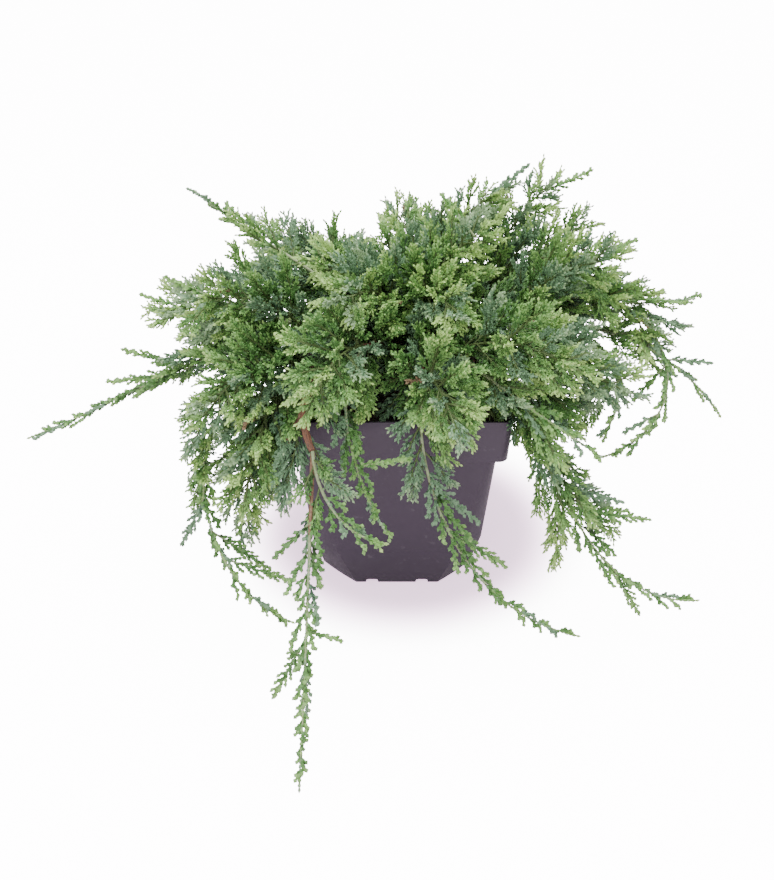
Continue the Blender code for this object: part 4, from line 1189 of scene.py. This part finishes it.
def loft(rings):
    """Corners and faces of a closed body through rings of points, from the first one's cap to the last's."""
    corners = [point for ring in rings for point in ring]
    size = len(rings[0])
    faces = [tuple(reversed(range(size))), tuple(range(len(corners) - size, len(corners)))]
    for level in range(len(rings) - 1):
        low, high = level * size, (level + 1) * size
        for i in range(size):
            j = (i + 1) % size
            faces.append((low + i, low + j, high + j, high + i))
    return corners, faces


def turned_ring(radius, z, middle=(0.0, 0.0), sides=40):
    turns = [2 * math.pi * k / sides for k in range(sides)]
    return [(middle[0] + radius * math.cos(a), middle[1] + radius * math.sin(a), z) for a in turns]


def edge_levels(low, high, count):
    return [low + (high - low) * k / count for k in range(1, count)]


def pot_levels():
    """The heights of the outside's rings: its corners, and rings between them."""
    corners = [z for z, *_ in POT_PROFILE]
    return sorted(corners + edge_levels(corners[0], corners[1], 3)
                  + edge_levels(corners[1], corners[2], WALL_RINGS)
                  + edge_levels(corners[3], corners[4], 4))


def notch_body(quarter, at):
    turn = Matrix.Rotation(math.radians(90 * quarter), 4, "Z")
    ring = []
    for k in range(7):
        a = math.pi * k / 6
        ring.append((at - NOTCH_WIDE / 2 * math.cos(a), NOTCH_HIGH * min(1.0, 1.7 * math.sin(a))))
    outline = [(at - NOTCH_WIDE / 2, CUT_FROM)] + ring + [(at + NOTCH_WIDE / 2, CUT_FROM)]
    rings = [[tuple(turn @ Vector((x, y, z))) for y, z in outline] for x in NOTCH_CUT]
    corners, faces = loft(rings)
    return mesh_piece("notch", corners, [face[::-1] for face in faces])


def boolean(item, others, operation):
    """Cuts or joins the others one by one, and removes them."""
    for other in others:
        change = item.modifiers.new("change", "BOOLEAN")
        change.operation, change.object, change.solver = operation, other, "EXACT"
        mesh = solid_of(item)
        item.modifiers.remove(change)
        item.data = mesh
        bpy.data.objects.remove(other, do_unlink=True)


def build_pot(pot):
    outer = [square_ring(*pot_half(z), z) for z in pot_levels()]
    inner = [inside_ring(z, WALL) for z in INNER_LEVELS]
    item = mesh_piece("nursery_pot", *loft(outer + inner))
    under = mesh_piece("under", *loft([inside_ring(CUT_FROM, WALL), inside_ring(FLOOR_Z, WALL)]))
    boolean(item, [under] + [notch_body(quarter, at) for quarter in range(4) for at in (-NOTCH_AT, NOTCH_AT)],
            "DIFFERENCE")
    pad_levels = (0.0, FLOOR_Z + FLOOR_THICK / 2)
    boolean(item, [mesh_piece("pad", *loft([turned_ring(PAD_RADIUS, z) for z in pad_levels]))], "UNION")
    drains = []
    for quarter in range(4):
        a = math.radians(45 + 90 * quarter)
        middle = (DRAIN_AT * math.cos(a), DRAIN_AT * math.sin(a))
        rings = [turned_ring(DRAIN_RADIUS, z, middle, 20) for z in (CUT_FROM, CUT_TO)]
        drains.append(mesh_piece("drain", *loft(rings)))
    boolean(item, drains, "DIFFERENCE")
    edge = item.modifiers.new("edges", "BEVEL")
    edge.width, edge.segments, edge.limit_method = pot.edge, 2, "ANGLE"
    edge.angle_limit = math.radians(BEVEL_ANGLE)
    edge.use_clamp_overlap = True
    item.data = solid_of(item)
    item.modifiers.clear()
    item.data.shade_smooth()
    item.data.set_sharp_from_angle(angle=math.radians(SHARP_ANGLE))
    item.data.materials.clear()
    item.data.materials.append(plastic_material(pot))
    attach(item, BODY)
    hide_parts("pot")


def crumb_body():
    """A rough lump, one metre across, to be scaled down."""
    chance = random.Random(SEED)
    mesh = bmesh.new()
    bmesh.ops.create_icosphere(mesh, subdivisions=1, radius=0.5)
    for vert in mesh.verts:
        vert.co *= chance.uniform(0.6, 1.1)
        vert.co.z *= 0.7
    data = bpy.data.meshes.new("crumb")
    mesh.to_mesh(data)
    mesh.free()
    return bpy.data.objects.new("crumb", data)


def build_soil(pot):
    levels = [INNER_LEVELS[3] + GAP, INNER_LEVELS[2], INNER_LEVELS[1], SOIL_TOP - SOIL_BODY_UNDER]
    body = mesh_piece("soil_body", *loft([inside_ring(z, WALL + GAP) for z in levels]), 30)
    side = SOIL_SQUARES
    half = pot_half(SOIL_TOP)[0] - WALL - GAP
    chance = random.Random(SEED + 1)
    waves = [(chance.uniform(60, 420), chance.uniform(0, 6.28), chance.uniform(0, 6.28))
             for _ in range(SOIL_WAVES)]
    corners, faces = [], []
    for i in range(side + 1):
        for j in range(side + 1):
            x, y = half * (2 * i / side - 1), half * (2 * j / side - 1)
            bump = sum(math.sin(k * (x * math.cos(a) + y * math.sin(a)) + b) for k, a, b in waves)
            corners.append((x, y, SOIL_TOP - SOIL_SINK + SOIL_SWELL * bump / SOIL_WAVES))
    for i in range(side):
        for j in range(side):
            a = i * (side + 1) + j
            faces.append((a, a + side + 1, a + side + 2, a + 1))
    top = mesh_piece("soil_top", corners, faces, 180)
    mat = soil_material(pot)
    top.data.materials.append(mat)
    crumb = crumb_body()
    smallest, largest = (pot.crumb * share for share in CRUMB_SIZES)
    solved(top, crumb_tree(), Crumb=crumb, Density=CRUMB_DENSITY, Smallest=smallest, Largest=largest,
           Seed=SEED, Material=mat)
    bpy.data.objects.remove(crumb, do_unlink=True)
    body.data.materials.append(mat)
    for item in (body, top):
        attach(item, BODY)
        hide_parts("soil")


# ---------------------------------------------------------------- the plant
def build_limbs(bark):
    boughs, _ = limb_paths()
    mat = bark_material(bark)
    tree = bark_tree()
    highs = np.linspace(0, TRUNK_HIGH, 12)
    item = line_object("bark_trunk", [(np.array([trunk_point(high) for high in highs]), 0.0, 0.0)])
    thick = np.array([trunk_radius(high) for high in highs], np.float32)
    item.data.attributes["thick"].data.foreach_set("value", thick)
    dress_limb(item, tree, mat, bark, "trunk")
    for bough in BOUGHS:
        path = boughs[bough.name]
        root = trunk_point(bough.high)
        inside = [root + (path[0] - root) * share for share in (0.25, 0.6)]
        item = line_object("bark_" + bough.name,
                           [(np.vstack([inside, path]), BOUGH_RADIUS, BOUGH_TIP_RADIUS)])
        dress_limb(item, tree, mat, bark, bough.name)


def dress_limb(item, tree, mat, bark, node):
    solved(item, tree, Relief=bark.relief, Material=mat)
    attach(item, BODY)
    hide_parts(node)


def ring_body():
    """One ring of three leaf scales: a closed spindle whose three corners lean forward and out."""
    corners = [(0, 0, RING_FOOT)]
    corners += [(math.cos(a), math.sin(a), RING_WIDEST) for a in (0, 2 * math.pi / 3, 4 * math.pi / 3)]
    corners.append((0, 0, RING_TIP))
    faces = [(0, 2, 1), (0, 3, 2), (0, 1, 3), (1, 2, 4), (2, 3, 4), (3, 1, 4)]
    mesh = bpy.data.meshes.new("scale_ring")
    mesh.from_pydata(corners, [], faces)
    return bpy.data.objects.new("scale_ring", mesh)


def build_foliage(leaf):
    boughs, stems = limb_paths()
    growth = Growth(leaf)
    for shoot in SHOOTS:
        grow = grow_tuft if shoot.name.startswith("tuft") else grow_shoot
        grow(growth, shoot, stems[shoot.name])
    for bough in BOUGHS:
        grow_bough(growth, bough, boughs[bough.name])
    grow_edges(growth, boughs, stems)
    grow_dry_twig(growth, boughs)
    masses = [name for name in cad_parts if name.startswith(("shoot_", "tuft_"))]
    twigs = twig_tree()
    finishes = {"green": twig_material("green twigs", (0.070, 0.110, 0.030), (0.110, 0.160, 0.050)),
                "pale": twig_material("pale stems", (0.240, 0.300, 0.140), (0.330, 0.390, 0.220)),
                "dry": twig_material("dry twigs", (0.160, 0.078, 0.044), (0.280, 0.170, 0.105))}
    for finish, lines in growth.twigs.items():
        item = line_object("twigs_" + finish, lines)
        solved(item, twigs, Sides=5, Material=finishes[finish])
        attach(item, BODY)
        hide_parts(*masses)
    cords = clear_cords(np.array(growth.cords))
    place, heading, width, tall, tone, bloom, k = scale_rings(cords, leaf.pitch)
    turns = turns_of(heading, k)
    colours = colour_rows(tone, bloom)
    ring = ring_body()
    tree = scale_tree()
    for name in (*GREEN_ROW, *BLUE_ROW, "dead"):
        mine = np.flatnonzero(colours == name)
        mat = leaf_material(name + " leaves", tuple(getattr(leaf, name)))
        parts = max(1, math.ceil(len(mine) / RINGS_MOST))
        for part in range(parts):
            some = mine[part::parts]
            suffix = f"_{part + 1}" if parts > 1 else ""
            item = point_object("leaves_" + name + suffix, place[some], width[some], tall[some], turns[some])
            solved(item, tree, Ring=ring, Material=mat)
            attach(item, BODY)
            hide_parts(*masses)
    bpy.data.objects.remove(ring, do_unlink=True)


# ---------------------------------------------------------------- the stage
PLANT_MIDDLE = (-0.0072, 0.0, 0.0880)       # what the camera looks at
LIT_MIDDLE = (0, 0, 0.12)
# Each light: its name, place, size and share of the key light's power.
LIGHTS = (("overhead", (0.1, 0.1, 1.5), 1.2, 1.0), ("front", (-0.6, -1.3, 1.1), 1.0, 0.5))


def build_stage(stage):
    floor = mesh_piece("floor", *loft([square_ring(8, 0.1, 1, z, 2) for z in (-0.05, -0.0002)]))
    floor.data.materials.append(floor_material(stage))
    world = bpy.data.worlds.new("even light")
    world.use_nodes = True
    background = world.node_tree.nodes["Background"]
    background.inputs["Color"].default_value = (1.0, 1.0, 1.0, 1.0)
    seen = maths(world.node_tree, "MULTIPLY_ADD", camera_ray(world.node_tree), stage.glow - stage.world,
                 stage.world)
    world.node_tree.links.new(seen, background.inputs["Strength"])
    bpy.context.scene.world = world
    for name, place, size, share in LIGHTS:
        light = bpy.data.lights.new(name, "AREA")
        light.shape, light.size, light.energy = "DISK", size, stage.key * share
        lamp = new_item(name, light)
        lamp.location = place
        lamp.rotation_euler = (Vector(LIT_MIDDLE) - Vector(place)).to_track_quat("-Z", "Y").to_euler()
    back = Vector((0, -math.cos(stage.elevation), math.sin(stage.elevation)))
    eye = bpy.data.cameras.new("camera")
    eye.lens, eye.sensor_width, eye.sensor_fit = stage.lens, 36, "AUTO"
    eye.clip_end = 50
    camera = new_item("camera", eye)
    camera.location = Vector(PLANT_MIDDLE) + back * stage.distance
    camera.rotation_euler = (-back).to_track_quat("-Z", "Y").to_euler()
    bpy.context.scene.camera = camera


# ---------------------------------------------------------------- operators and panel
class JUNIPER_OT_pot(bpy.types.Operator):
    """Build the square nursery pot"""
    bl_idname = "juniper.pot"
    bl_label = "Pot"

    def execute(self, context):
        build_pot(settings().pot)
        return {"FINISHED"}


class JUNIPER_OT_soil(bpy.types.Operator):
    """Build the soil and its crumbs"""
    bl_idname = "juniper.soil"
    bl_label = "Soil"

    def execute(self, context):
        build_soil(settings().pot)
        return {"FINISHED"}


class JUNIPER_OT_limbs(bpy.types.Operator):
    """Build the trunk and the boughs with their bark"""
    bl_idname = "juniper.limbs"
    bl_label = "Trunk and boughs"

    def execute(self, context):
        build_limbs(settings().bark)
        return {"FINISHED"}


class JUNIPER_OT_foliage(bpy.types.Operator):
    """Grow the twigs and the leaf scales"""
    bl_idname = "juniper.foliage"
    bl_label = "Foliage"

    def execute(self, context):
        build_foliage(settings().leaf)
        return {"FINISHED"}


class JUNIPER_OT_stage(bpy.types.Operator):
    """Set up the floor, the lights and the camera"""
    bl_idname = "juniper.stage"
    bl_label = "Stage"

    def execute(self, context):
        build_stage(settings().stage)
        return {"FINISHED"}


OPERATORS = (JUNIPER_OT_pot, JUNIPER_OT_soil, JUNIPER_OT_limbs, JUNIPER_OT_foliage, JUNIPER_OT_stage)


class JUNIPER_PT_panel(bpy.types.Panel):
    bl_label = "Potted Juniper"
    bl_space_type = "VIEW_3D"
    bl_region_type = "UI"
    bl_category = "Juniper"

    def draw(self, context):
        for operator in OPERATORS:
            self.layout.operator(operator.bl_idname)


CLASSES = (PotSettings, BarkSettings, LeafSettings, StageSettings, JuniperSettings, *OPERATORS,
           JUNIPER_PT_panel)


def register():
    for item in CLASSES:
        bpy.utils.register_class(item)
    bpy.types.Scene.juniper = PointerProperty(type=JuniperSettings)


def unregister():
    del bpy.types.Scene.juniper
    for item in reversed(CLASSES):
        bpy.utils.unregister_class(item)


def main():
    register()
    bpy.ops.juniper.stage()
    bpy.ops.juniper.pot()
    bpy.ops.juniper.soil()
    bpy.ops.juniper.limbs()
    bpy.ops.juniper.foliage()


if __name__ == "__main__":
    main()
